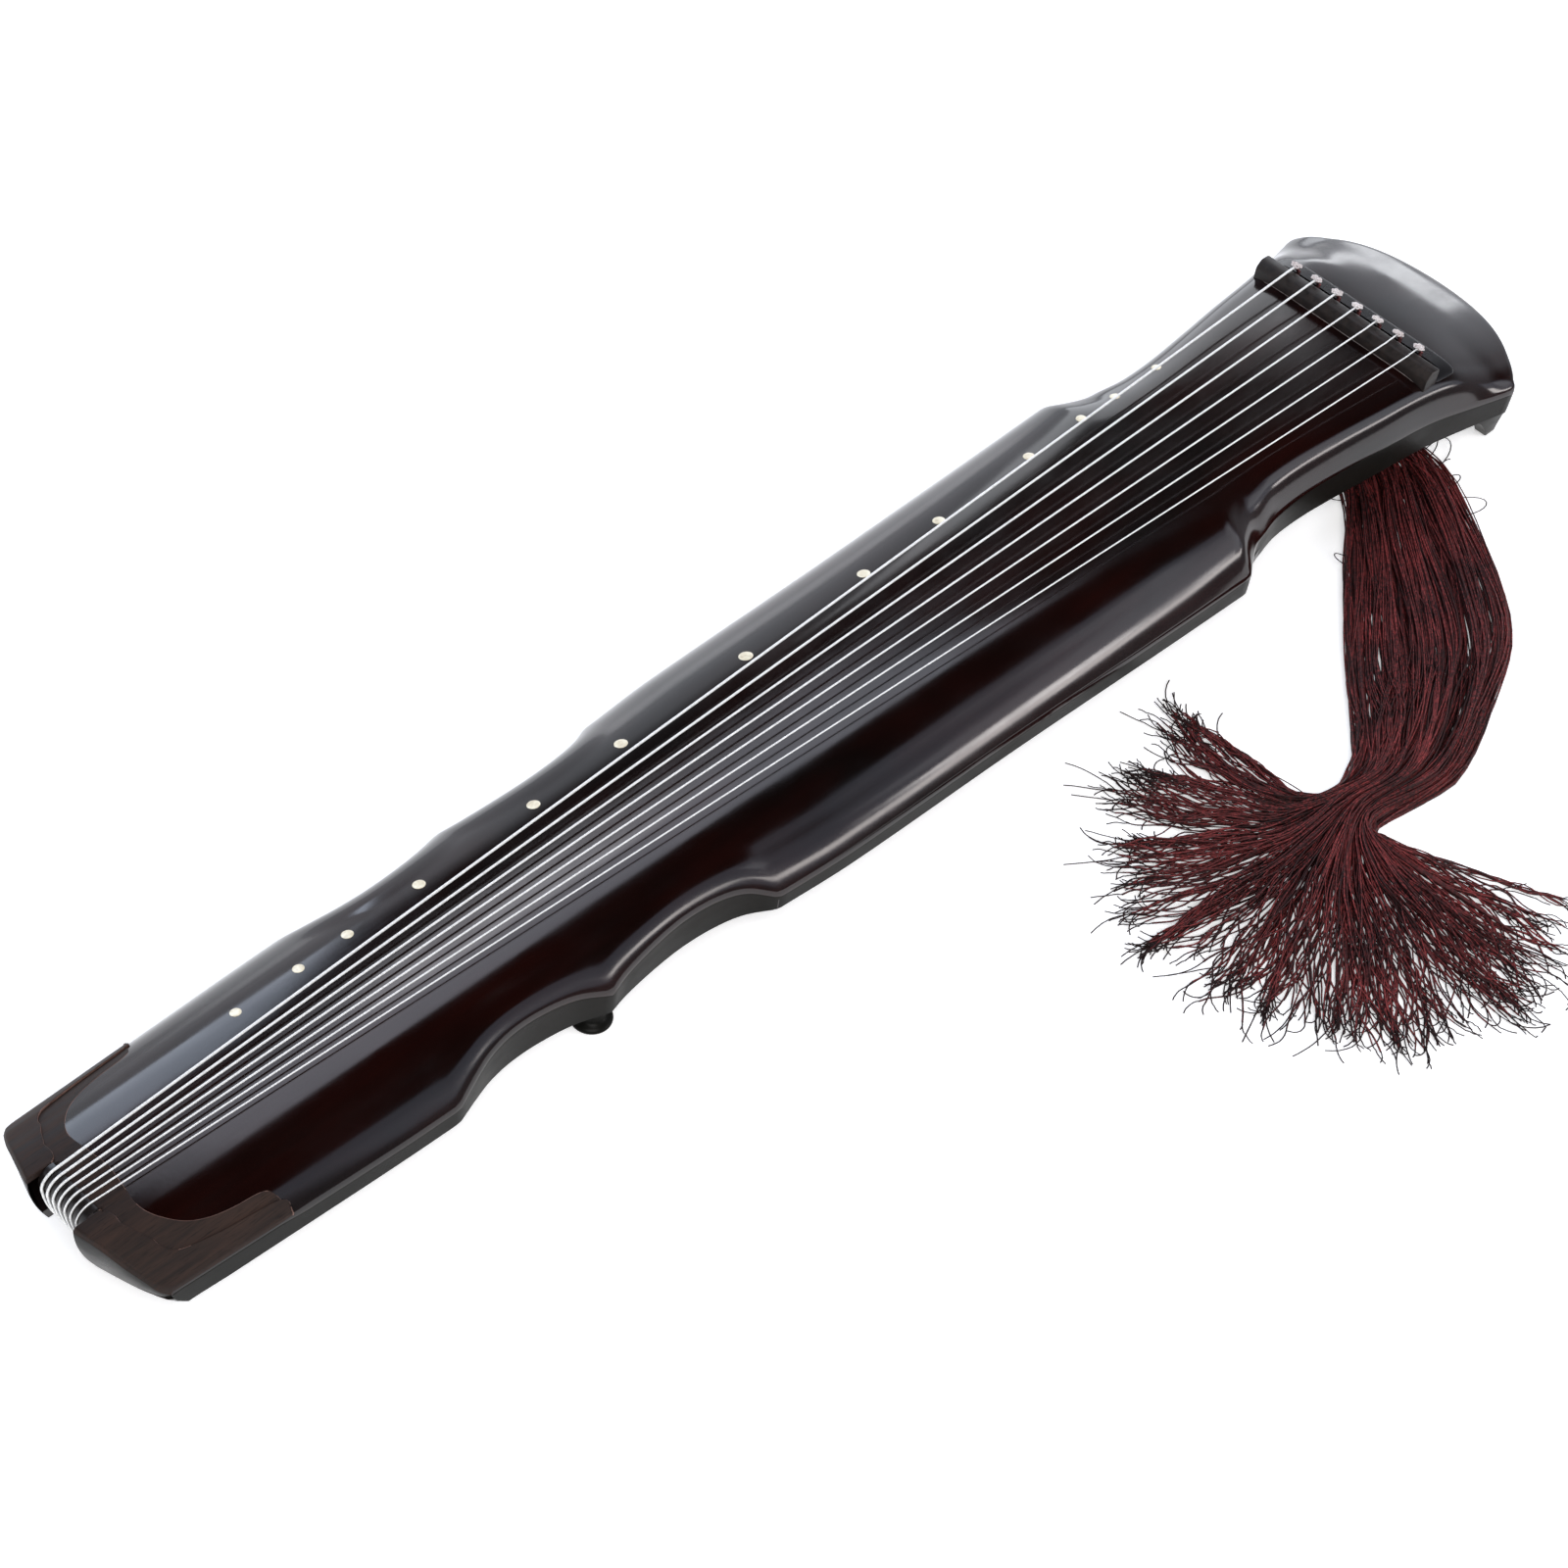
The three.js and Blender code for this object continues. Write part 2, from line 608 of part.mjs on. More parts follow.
// A profile in X and Z carried across the middle
function across(profile, halfWidth) {
  const shape = new THREE.Shape(profile.map(([x, z]) => new THREE.Vector2(x, z)));
  const geometry = new THREE.ExtrudeGeometry(shape, { depth: halfWidth * 2, bevelEnabled: false });
  geometry.rotateX(Math.PI / 2);
  geometry.translate(0, halfWidth, 0);
  return geometry;
}

const nutCentreX = nutFaceX + nutRadius;
const nutCentreZ = boardZ + nutTop - nutRadius;

function nut() {
  const back = notchX - seam;
  const profile = [[back, nutFloorZ + seam], [back, boardZ + nutTop]];
  const steps = 7;
  for (let i = 0; i <= steps; i += 1) {
    const angle = Math.PI / 2 * (1 + i / steps);
    profile.push([nutCentreX + nutRadius * Math.cos(angle), nutCentreZ + nutRadius * Math.sin(angle)]);
  }
  const low = nutFloorZ + seam;
  profile.push([faceX((nutCentreZ + low) / 2), (nutCentreZ + low) / 2], [faceX(low), low]);
  return across(profile, nutHalfWidth);
}

// The chin turns the strings from the tail end to the underside
function chin() {
  const back = notchX - nutDepth + chinDepth - seam;
  const low = boardZ - chinDrop;
  const profile = [[back, nutFloorZ], [faceX(nutFloorZ), nutFloorZ]];
  const faceShares = [0.72, 0.45, 0.2];
  faceShares.forEach((share) => {
    const z = boardZ + (nutFloorZ - boardZ) * share;
    profile.push([faceX(z), z]);
  });
  profile.push([faceX(boardZ), boardZ], [faceX(boardZ) + chinRound / 2, low + chinRound / 8]);
  profile.push([faceX(boardZ) + chinRound, low], [back - chinRound / 2, low], [back, boardZ]);
  return across(profile, nutHalfWidth);
}

function bridge() {
  const top = boardZ + bridgeHeight;
  const back = bridgeBackX;
  const front = back - bridgeDepth;
  const low = boardZ;
  const profile = [[front, low], [front, top - bridgeChamfer * 1.3], [front + bridgeChamfer * 0.35, top - bridgeChamfer * 0.7],
    [front + bridgeChamfer, top - bridgeChamfer * 0.1], [front + bridgeChamfer * 1.6, top],
    [back - bridgeChamfer, top - bridgeChamfer * 0.05], [back - bridgeChamfer * 0.4, top - bridgeChamfer * 0.25],
    [back, top - bridgeBackDrop], [back, low]];
  const bar = solid(across(profile, bridgeHalfLength + overrun));
  return geometryOf(bar.intersect(above(bridgeOutline(), bridgeSeat)));
}

function headPlate() {
  const slab = above(plateOutline(), plateSeat).intersect(underArch(-plateRise, boardZ, lengthShares));
  return geometryOf(slab.subtract(cordHoles(cordHole + seam / 2, boardZ, topZ)));
}

function pegPlate() {
  const low = pegPlateZ;
  const plate = prism(pegPoolOutline(-seam * 2), low, low + pegPlateThickness);
  return geometryOf(plate.subtract(cordHoles(cordHole, low - overrun, topZ)));
}

// A tube of even rings along hand-chosen or worked-out points
function tube(points, radius, sides) {
  const rings = [];
  let normal = null;
  points.forEach((point, i) => {
    const before = points[Math.max(i - 1, 0)];
    const after = points[Math.min(i + 1, points.length - 1)];
    const inward = point.clone().sub(before).normalize();
    const outward = after.clone().sub(point).normalize();
    const tangent = inward.add(outward).normalize();
    if (!normal) {
      normal = new THREE.Vector3(0, 1, 0);
      if (Math.abs(tangent.y) > 0.9) {
        normal.set(0, 0, 1);
      }
    }
    normal.addScaledVector(tangent, -normal.dot(tangent)).normalize();
    const other = new THREE.Vector3().crossVectors(tangent, normal);
    const ring = [];
    for (let k = 0; k < sides; k += 1) {
      const angle = (k + 0.5) / sides * Math.PI * 2;
      const spoke = normal.clone().multiplyScalar(Math.cos(angle)).addScaledVector(other, Math.sin(angle));
      ring.push(point.clone().addScaledVector(spoke, radius));
    }
    rings.push(ring);
  });
  return loft(rings, null);
}

// The least gap between one turn of a winding and the next
function leastGap(points, diameter, perTurn) {
  let least = Infinity;
  for (let i = 0; i < points.length; i += 1) {
    for (let j = i + perTurn / 2; j < points.length; j += 1) {
      least = Math.min(least, points[i].distanceTo(points[j]) - diameter);
    }
  }
  return least;
}

// The route of one string: bridge, nut, tail end, chin, and its turns round a foot
function stringRoute(i) {
  const radius = noteRadius(i);
  const off = radius + seam;
  const nearY = nutY(i);
  const knot = knotPlace(i);
  const crest = boardZ + bridgeHeight + off;
  const points = [new THREE.Vector3(knot.x - knotLength / 4, bridgeY(i), knot.z)];
  points.push(new THREE.Vector3(bridgeX + bridgeFront * 0.4, bridgeY(i), crest + seam));
  points.push(new THREE.Vector3(bridgeX - seam, bridgeY(i), crest));
  const wrap = nutRadius + off;
  for (let step = 0; step <= 4; step += 1) {
    const angle = Math.PI / 2 * (1 + step / 4);
    points.push(new THREE.Vector3(nutCentreX + wrap * Math.cos(angle), nearY, nutCentreZ + wrap * Math.sin(angle)));
  }
  const fallShares = [0.66, 0.5, 0.34, 0.18, 0.05];
  fallShares.forEach((share) => {
    const z = boardZ + nutTop * share;
    points.push(new THREE.Vector3(faceX(z) - off, nearY, z - radius / 4));
  });
  const under = boardZ - chinDrop - off;
  points.push(new THREE.Vector3(faceX(boardZ) - off * 0.3, nearY, boardZ - off));
  points.push(new THREE.Vector3(faceX(boardZ) + chinRound, nearY, under));
  return [...points, ...winding(i)];
}

function knotPlace(i) {
  return new THREE.Vector3(bridgeX + knotBack, bridgeY(i), boardZ + bridgeHeight + knotLift);
}

function winding(i) {
  const far = i < stringsOnFarFoot;
  const first = far ? 0 : stringsOnFarFoot;
  let top = boardZ - windingStart;
  for (let k = first; k < i; k += 1) {
    top -= Math.floor(turnsOnFoot) * (noteRadius(k) * 2 + turnGap);
    top -= noteRadius(k) + noteRadius(k + 1) + turnGap;
  }
  const pitch = noteRadius(i) * 2 + turnGap;
  const reach = footNeckRadius + noteRadius(i) + windingClearance;
  const side = far ? 1 : -1;
  const perTurn = 16;
  const points = [];
  for (let step = 0; step <= perTurn * turnsOnFoot; step += 1) {
    const angle = -Math.PI / 2 * side + side * step / perTurn * Math.PI * 2;
    const x = footX + reach * Math.cos(angle);
    const y = side * footSpacing / 2 + reach * Math.sin(angle);
    points.push(new THREE.Vector3(x, y, top - pitch * step / perTurn));
  }
  const gap = leastGap(points, noteRadius(i) * 2, perTurn);
  console.log(`string_${i + 1} winding: least gap to itself ${gap.toFixed(2)} mm`);
  return points;
}

function string(i) {
  const run = solid(tube(stringRoute(i), noteRadius(i), 6));
  const ball = new THREE.SphereGeometry(0.5, 10, 6);
  ball.scale(knotLength, knotWidth, knotHeight);
  const at = knotPlace(i);
  ball.translate(at.x, at.y, at.z);
  return geometryOf(run.add(solid(ball)));
}

// The twisted cord from below a knot, through the plate, into its peg
function tuningCord(i) {
  const radius = cordDiameter / 2;
  const knot = knotPlace(i);
  const start = knot.z - knotHeight / 2 - seam - radius / 2;
  const plate = topAt(pegX, bridgeY(i)) + plateRise;
  const low = boardZ - footHeight + pegClearance + seam;
  const y = bridgeY(i);
  const middle = (start + plate) / 2;
  const points = [
    new THREE.Vector3(knot.x + radius, y, start),
    new THREE.Vector3((knot.x + pegX) / 2 + radius, y, middle + radius),
    new THREE.Vector3(pegX, y, plate + radius / 2),
    new THREE.Vector3(pegX, y, plate - radius),
    new THREE.Vector3(pegX, y, low),
  ];
  return tube(points, radius, 8);
}

function peg() {
  const top = pegPlateZ - seam;
  const low = boardZ - footHeight + pegClearance;
  const height = top - low;
  const profileShares = [[pegFlangeRadius, 1], [pegFlangeRadius, 0.93], [pegWaistRadius, 0.84], [pegWaistRadius, 0.6],
    [pegGripRadius, 0.36], [pegGripRadius, 0.06], [pegWaistRadius, 0]];
  const points = [[pegBore, 0], [pegBore, 1], ...profileShares].map(([r, share]) => new THREE.Vector2(r, low + share * height));
  points.push(points[0].clone());
  const geometry = new THREE.LatheGeometry(points.reverse(), 12);
  geometry.rotateX(Math.PI / 2);
  return geometryOf(solid(geometry));
}

// A foot: a square tenon, a neck for the windings and a flared base
function foot() {
  const neckShares = [[0, 1], [1, 1], [1, 0.72], [0.97, 0.5], [1, 0.19]];
  const baseShares = [[0.86, 0.13], [1, 0.09], [1, 0.03], [0.93, 0], [0, 0]];
  const top = boardZ - seam;
  const neck = neckShares.map(([r, share]) => new THREE.Vector2(r * footNeckRadius, share * top));
  const base = baseShares.map(([r, share]) => new THREE.Vector2(r * footBaseRadius, share * top));
  const geometry = new THREE.LatheGeometry([...neck, ...base].reverse(), 16);
  geometry.rotateX(Math.PI / 2);
  const half = footTenon / 2;
  const tenon = block(-half, half, -half, half, top - overrun / 4, boardZ + footTenonLength);
  return geometryOf(solid(geometry).add(tenon));
}

// A guard: a fin that carries the wall on under the head's corner and tapers to the floor
function guard(side) {
  const top = boardZ - seam;
  const planShares = [[0, 0], [1, 0], [1, 0.5], [0.95, 0.82], [0.8, 1], [0.4, 1], [0, 1]];
  const rings = [1, 0.86, 0.68, 0.46, 0.22, 0].map((height) => {
    const drop = 1 - height;
    const back = guardX + guardLean * drop ** 0.8;
    const front = guardX + guardTopLength + guardReach * drop ** 1.5;
    const thickness = guardThickness - guardTaper * drop;
    return planShares.map(([along, across]) => {
      const x = back + (front - back) * along;
      const outer = neckHalfWidth(x) * height + guardFootSpan * drop;
      return new THREE.Vector3(x, side * (outer - thickness * (1 - across)), top * height);
    });
  });
  return loft(rings, (p) => new THREE.Vector2(p.x, p.y));
}

function heavenPost() {
  const roof = Math.min(topAt(heavenPostX, heavenPostRadius), crownAt(heavenPostX)) - topThickness;
  return geometryOf(post(heavenPostRadius, 12, heavenPostX, 0, lidZ, roof - postClearance));
}

function earthPost() {
  const half = earthPostWidth / 2;
  const roof = topAt(earthPostX, half) - topThickness;
  return geometryOf(block(earthPostX - half, earthPostX + half, -half, half, lidZ, roof - postClearance));
}

// Tassels, each a lane of one bundle along the floor that ends in a spread fan
const tasselHeight = 13;
const tasselLift = 0.2;
const tasselGap = 0.6;
const tasselStart = 5.2;
const tasselEdgeHeight = 4;
const fanCentreX = 193;
const fanCentreY = -262;
const fanReach = 190;
const laneLeft = [[516, 63], [468, -12], [444, -69], [371, -130], [297, -190], [257, -226], [226, -243], [198, -242]];
const laneRight = [[520, -63], [526, -70], [527, -80], [511, -122], [438, -222], [372, -262], [285, -291], [208, -283]];
const laneHeightShares = [0.4, 0.41, 0.8, 1, 1, 1, 1, 1];
const laneFillShares = [0.45, 0.8, 0.97, 0.97, 0.97, 0.97, 0.97, 0.97];
const fanTurnShares = [0.272, 0.803];
const fanStepShares = [0.3, 0.55, 0.8, 1];
const fanHeightShares = [0.9, 0.75, 0.55, 0.35];
const fanRimShares = [0.81, 0.88, 0.95, 1, 1.03, 1, 0.9, 0.79];

function laneEdges(j) {
  const share = j / stringCount;
  const body = laneLeft.map(([x, y], k) => {
    const [rx, ry] = laneRight[k];
    return [x + (rx - x) * share, y + (ry - y) * share];
  });
  const turn = (fanTurnShares[0] + (fanTurnShares[1] - fanTurnShares[0]) * share) * Math.PI * 2;
  const fan = fanStepShares.map((step) => {
    const reach = fanReach * fanRimShares[j] * step;
    return [fanCentreX + reach * Math.cos(turn), fanCentreY + reach * Math.sin(turn)];
  });
  return [...body, ...fan];
}

function tassel(i) {
  const left = laneEdges(i);
  const right = laneEdges(i + 1);
  const heights = [...laneHeightShares, ...fanHeightShares].map((share) => share * tasselHeight);
  const fills = [...laneFillShares, ...fanStepShares.map(() => laneFillShares[laneFillShares.length - 1])];
  const sectionShares = [[0, 0], [1, 0], [1, 0.5], [0.78, 0.92], [0.5, 1], [0.22, 0.92], [0, 0.5]];
  const rings = left.map(([lx, ly], k) => {
    const [rx, ry] = right[k];
    const width = Math.hypot(rx - lx, ry - ly);
    const fill = fills[k] * (1 - tasselGap / width);
    return sectionShares.map(([u, v]) => {
      const share = 0.5 + (u - 0.5) * fill;
      const z = tasselLift + v * Math.max(heights[k], tasselEdgeHeight / 2);
      return new THREE.Vector3(lx + (rx - lx) * share, ly + (ry - ly) * share, z);
    });
  });
  return loft(rings, null);
}

add('top_board', topBoard(), lacquer);
add('bottom_board', bottomBoard(), underLacquer);
add('bridge', bridge(), rosewood);
add('head_plate', headPlate(), rosewood);
add('nut', nut(), ebony);
add('tail_chin', chin(), ebony);
add('tail_band', tailBand(), rosewood);
add('tail_corner_near', tailCorner(-1), rosewood);
add('tail_corner_far', tailCorner(1), rosewood);
add('peg_plate', pegPlate(), rosewood);
add('heaven_post', heavenPost(), softwood);
add('earth_post', earthPost(), softwood);

[['near', -1], ['far', 1]].forEach(([name, side]) => {
  const leg = foot();
  leg.translate(footX, side * footSpacing / 2, 0);
  add(`foot_${name}`, leg, rosewood);
  add(`guard_${name}`, guard(side), rosewood);
});

for (let i = 0; i < stringCount; i += 1) {
  const turned = peg();
  turned.translate(pegX, bridgeY(i), 0);
  add(`peg_${i + 1}`, turned, rosewood);
  add(`string_${i + 1}`, string(i), silk);
  add(`tuning_cord_${i + 1}`, tuningCord(i), knotSilk);
  add(`tassel_${i + 1}`, tassel(i), wineYarn);
}

studPlaceShares.forEach((share, i) => {
  add(`stud_${i + 1}`, studDisc(i, 0, -studThickness, studProud), shell);
});

export default group;
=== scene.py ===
"""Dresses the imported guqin: lacquer, hardwoods, strings, studs and silk tassels."""

import json
import logging
import math
import random
from dataclasses import dataclass, field
from enum import Enum
from typing import Callable

import bmesh
import bpy
from mathutils import Matrix, Vector

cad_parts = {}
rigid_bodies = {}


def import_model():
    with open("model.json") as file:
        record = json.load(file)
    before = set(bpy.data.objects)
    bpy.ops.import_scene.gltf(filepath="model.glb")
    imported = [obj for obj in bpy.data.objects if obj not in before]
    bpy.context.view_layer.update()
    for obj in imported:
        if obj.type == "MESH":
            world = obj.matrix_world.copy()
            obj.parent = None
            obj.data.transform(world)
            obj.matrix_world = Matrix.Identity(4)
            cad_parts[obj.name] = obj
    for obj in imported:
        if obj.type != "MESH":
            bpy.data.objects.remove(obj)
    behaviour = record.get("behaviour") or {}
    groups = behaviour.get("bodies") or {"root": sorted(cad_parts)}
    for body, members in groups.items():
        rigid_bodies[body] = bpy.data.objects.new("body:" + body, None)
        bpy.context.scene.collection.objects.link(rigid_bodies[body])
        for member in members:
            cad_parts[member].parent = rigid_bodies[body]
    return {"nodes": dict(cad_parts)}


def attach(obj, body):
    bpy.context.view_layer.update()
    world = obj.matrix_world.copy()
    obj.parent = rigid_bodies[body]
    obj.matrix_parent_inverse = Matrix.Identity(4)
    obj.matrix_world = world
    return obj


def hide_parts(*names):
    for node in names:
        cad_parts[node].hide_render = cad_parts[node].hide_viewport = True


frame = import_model()
log = logging.getLogger("guqin")
Shares = list[tuple[float, float]]
BMesh = bmesh.types.BMesh
Material = bpy.types.Material
Piece = bpy.types.Object
Socket = bpy.types.NodeSocket


class Side(Enum):
    """The two long sides: the player sits at the near one, the studs are on the far one."""

    NEAR = -1
    FAR = 1

    def label(self) -> str:
        """The side's name as the pieces have it."""
        return self.name.lower()


# Finishes
class Tree:
    """A short way to lay out nodes."""

    def __init__(self, tree: bpy.types.NodeTree) -> None:
        """Takes the node tree to work in."""
        self.tree = tree

    def give(self, socket: Socket, value: object) -> None:
        """Links a socket to another one, or sets its value.

        Args:
            socket: the input.
            value: another node's output, or a value, where a colour may leave out its alpha.
        """
        if isinstance(value, Socket):
            self.tree.links.new(value, socket)
        else:
            socket.default_value = (*value, 1) if socket.type == "RGBA" and len(value) == 3 else value

    def add(self, kind: str, inputs: dict[str | int, object], **settings: object) -> bpy.types.Node:
        """Adds a node.

        Args:
            kind: its type, without the usual start of the name.
            inputs: what each input gets, by name or number.
            **settings: the node's own settings.

        Returns:
            The node.
        """
        node = self.tree.nodes.new("ShaderNode" + kind)
        for key, value in settings.items():
            setattr(node, key, value)
        for key, value in inputs.items():
            self.give(node.inputs[key], value)
        return node

    def math(self, kind: str, one: Socket, two: Socket | float) -> Socket:
        """One sum on two values."""
        return self.add("Math", {0: one, 1: two}, operation=kind).outputs[0]

    def spread(self, value: Socket, low: float, high: float, start: float = 0.3, end: float = 0.7) -> Socket:
        """Maps a value from start and end onto low and high."""
        limits = {"From Min": start, "From Max": end, "To Min": low, "To Max": high}
        return self.add("MapRange", {**limits, "Value": value}).outputs["Result"]


class Nodes(Tree):
    """The nodes of one material."""

    def __init__(self, name: str) -> None:
        """Starts a material with only its shader.

        Args:
            name: the material's name.
        """
        self.material = bpy.data.materials.new(name)
        self.material.use_nodes = True
        super().__init__(self.material.node_tree)
        self.tree.nodes.clear()
        self.shader = self.add("BsdfPrincipled", {})
        self.add("OutputMaterial", {"Surface": self.shader.outputs[0]})
        self.coords = self.add("TexCoord", {})

    def shade(self, **values: object) -> None:
        """Sets or links the shader's own sockets, with underscores for spaces."""
        for key, value in values.items():
            self.give(self.shader.inputs[key.replace("_", " ")], value)

    def noise(self, stretch: tuple, scale: float, detail: float, rough: float = 0.5,
              bend: float = 0) -> Socket:
        """A noise pattern on the piece's own coordinates.

        Args:
            stretch: how much finer the pattern gets along each axis.
            scale: the noise's scale after that.
            detail: its detail.
            rough: its roughness.
            bend: its distortion.

        Returns:
            The pattern's value.
        """
        place = self.add("Mapping", {"Scale": stretch, "Vector": self.coords.outputs["Object"]}).outputs[0]
        values = {"Scale": scale, "Detail": detail, "Roughness": rough, "Distortion": bend}
        return self.add("TexNoise", {**values, "Vector": place}).outputs["Fac"]

    def attribute(self, name: str) -> Socket:
        """The value of one of the piece's attributes."""
        return self.add("Attribute", {}, attribute_name=name).outputs["Fac"]

    def ramp(self, value: Socket, stops: list[tuple[float, tuple]]) -> Socket:
        """Colours a value.

        Args:
            value: the value.
            stops: places and their colours.

        Returns:
            The colour.
        """
        node = self.add("ValToRGB", {"Fac": value})
        elements = node.color_ramp.elements
        while len(elements) < len(stops):
            elements.new(0.5)
        for element, (place, color) in zip(elements, stops):
            element.position = place
            element.color = (*color, 1)
        return node.outputs["Color"]

    def mix(self, share: Socket, one: Socket | tuple, two: Socket | tuple) -> Socket:
        """Mixes two colours by a share."""
        return self.add("Mix", {0: share, 6: one, 7: two}, data_type="RGBA").outputs[2]

    def bump(self, height: Socket, depth: float, strength: float, under: Socket | None = None) -> Socket:
        """Gives the shader a bump.

        Args:
            height: the pattern of its height.
            depth: how deep it is.
            strength: how strongly it shows.
            under: another bump that it lies on.

        Returns:
            The bumped normal.
        """
        inputs = {"Strength": strength, "Distance": depth, "Height": height}
        if under is not None:
            inputs["Normal"] = under
        normal = self.add("Bump", inputs).outputs[0]
        self.shade(Normal=normal)
        return normal


def shaded(color: tuple, share: float) -> tuple:
    """A darker tone of a colour."""
    return tuple(share * part for part in color)


@dataclass(frozen=True)
class Lacquer:
    """Polished dark lacquer: near black, maroon in depth, with a slow waviness and fine polish marks."""

    name: str = "lacquer_gloss"
    dark: tuple = (0.0030, 0.0013, 0.0011)
    maroon: tuple = (0.0145, 0.0024, 0.0017)
    roughness: float = 0.115
    specular: float = 0.5
    clear_share: float = 0.75
    hazy_share: float = 1.45
    wave_depth: float = 0.0006
    peel_depth: float = 0.00002

    def make(self) -> Material:
        """Builds the material.

        Returns:
            The material.
        """
        n = Nodes(self.name)
        cloud = n.noise((3, 9, 9), 1.6, 3, 0.6)
        streak = n.noise((4, 160, 160), 1, 4, 0.6)
        tone = n.math("MULTIPLY", n.spread(cloud, 0, 1, 0.35, 0.72), n.spread(streak, 0.55, 1))
        haze = n.noise((7, 14, 14), 2.2, 5, 0.62)
        marks = n.noise((40, 600, 600), 1, 2)
        blur = n.spread(haze, self.roughness * self.clear_share, self.roughness * self.hazy_share)
        n.shade(Base_Color=n.mix(tone, self.dark, self.maroon), Specular_IOR_Level=self.specular)
        n.shade(Roughness=n.math("ADD", blur, n.spread(marks, 0, 0.02)))
        low = n.bump(n.noise((9, 15, 15), 1, 1, 0.4), self.wave_depth, 0.5)
        n.bump(n.noise((300, 300, 300), 1, 2), self.peel_depth, 0.35, low)
        return n.material


@dataclass(frozen=True)
class Hardwood:
    """Satin dark wood with pores and streaks along the length."""

    name: str
    dark: tuple
    light: tuple
    roughness: float
    gloss: float = 0
    along: tuple = (9, 150, 150)
    specular: float = 0.3
    pore_finer: float = 6
    pore_shade: float = 0.35
    grain_depth: float = 0.00008
    pore_depth: float = 0.00005

    def make(self) -> Material:
        """Builds the material.

        Returns:
            The material.
        """
        n = Nodes(self.name)
        grain = n.noise(self.along, 1.3, 6, 0.62, 0.4)
        pores = n.noise(tuple(self.pore_finer * a for a in self.along), 1.5, 2)
        middle = tuple((a + b) / 2 for a, b in zip(self.dark, self.light))
        color = n.ramp(grain, [(0.3, self.dark), (0.52, middle), (0.75, self.light)])
        fleck = n.spread(pores, 0, 0.75, 0.58, 0.72)
        n.shade(Base_Color=n.mix(fleck, color, shaded(self.dark, self.pore_shade)))
        n.shade(Roughness=n.spread(grain, self.roughness * 0.85, self.roughness * 1.2))
        n.shade(Coat_Weight=self.gloss, Coat_Roughness=0.2, Specular_IOR_Level=self.specular)
        n.bump(pores, self.pore_depth, 0.4, n.bump(grain, self.grain_depth, 0.5))
        return n.material


@dataclass(frozen=True)
class PlainWood:
    """Bare light wood inside the chamber, with year lines."""

    name: str = "bare_wood"
    dark: tuple = (0.27, 0.16, 0.085)
    light: tuple = (0.44, 0.30, 0.17)

    def make(self) -> Material:
        """Builds the material.

        Returns:
            The material.
        """
        n = Nodes(self.name)
        grain = n.noise((2, 60, 60), 1.5, 5, 0.6, 0.3)
        n.shade(Base_Color=n.ramp(grain, [(0.3, self.dark), (0.7, self.light)]), Roughness=0.75)
        n.bump(grain, 0.0002, 0.5)
        return n.material


@dataclass(frozen=True)
class Shell:
    """Polished pale shell, cream with a faint cloudy lustre."""

    name: str = "stud_shell"
    dark: tuple = (0.60, 0.52, 0.36)
    cream: tuple = (0.80, 0.72, 0.54)
    pale: tuple = (0.92, 0.87, 0.69)

    def make(self) -> Material:
        """Builds the material.

        Returns:
            The material.
        """
        n = Nodes(self.name)
        cloud = n.noise((180, 180, 180), 1, 4, 0.6, 1.2)
        n.shade(Base_Color=n.ramp(cloud, [(0.3, self.dark), (0.5, self.cream), (0.72, self.pale)]))
        n.shade(Roughness=0.22, Coat_Weight=0.4, Coat_Roughness=0.1)
        n.bump(cloud, 0.00004, 0.3)
        return n.material


@dataclass(frozen=True)
class Thread:
    """Silk thread: its tone varies over a millimetre, painted lighter and darker along its twist as highlight
    and shade, and at random over larger patches; its sheen is even.

    Where depth is above 0, each thread also has its own tone, and painted shade darkens it where it faces
    down or sideways.
    """

    name: str
    dark: tuple
    light: tuple
    fine: float
    roughness: float
    sheen: float = 0
    # depth: how strongly painted shade darkens a thread where it faces down or sideways
    depth: float = 0

    def make(self) -> Material:
        """Builds the material.

        Returns:
            The material.
        """
        n = Nodes(self.name)
        # The twist noise paints lighter and darker bands along the thread as highlight and shade; it also
        # bumps the surface.
        twist = n.noise((self.fine, self.fine, self.fine), 1, 1)
        patch = n.noise((28, 28, 28), 1, 2)
        tone = n.math("ADD", n.spread(twist, 0, 0.7, 0.35, 0.68), n.spread(patch, -0.1, 0.35))
        color = n.mix(tone, self.dark, self.light)
        if self.depth:
            own = n.math("POWER", n.attribute("tone"), 0.6)
            # Painted shade: darker where a point faces away from up, read from the upward attribute.
            below = n.spread(n.attribute("upward"), self.depth, 0, 0.05, 0.85)
            color = n.mix(below, n.mix(own, shaded(self.dark, 0.6), color), shaded(self.dark, 0.3))
        n.shade(Base_Color=color, Roughness=self.roughness, Specular_IOR_Level=0.3)
        n.shade(Sheen_Weight=self.sheen, Sheen_Roughness=0.4)
        n.bump(twist, 0.0003, 0.6)
        return n.material


@dataclass(frozen=True)
class WoundString:
    """A wound string, silver-white with fine turns along it, painted darker in the grooves between turns as
    shade and lighter on their crests as highlight.
    """

    name: str = "string_wound"
    # groove is the painted shade between the turns and crest the painted highlight on their tops.
    groove: tuple = (0.72, 0.72, 0.71)
    crest: tuple = (0.97, 0.97, 0.96)

    def make(self) -> Material:
        """Builds the material.

        Returns:
            The material.
        """
        n = Nodes(self.name)
        turns = n.noise((2600, 300, 300), 1, 1)
        # Painted shade and highlight: the turns' noise darkens the grooves and lightens the crests; it also
        # bumps the surface.
        color = n.ramp(turns, [(0.35, self.groove), (0.65, self.crest)])
        n.shade(Base_Color=color, Roughness=0.4, Metallic=0.1)
        n.bump(turns, 0.00006, 0.5)
        return n.material


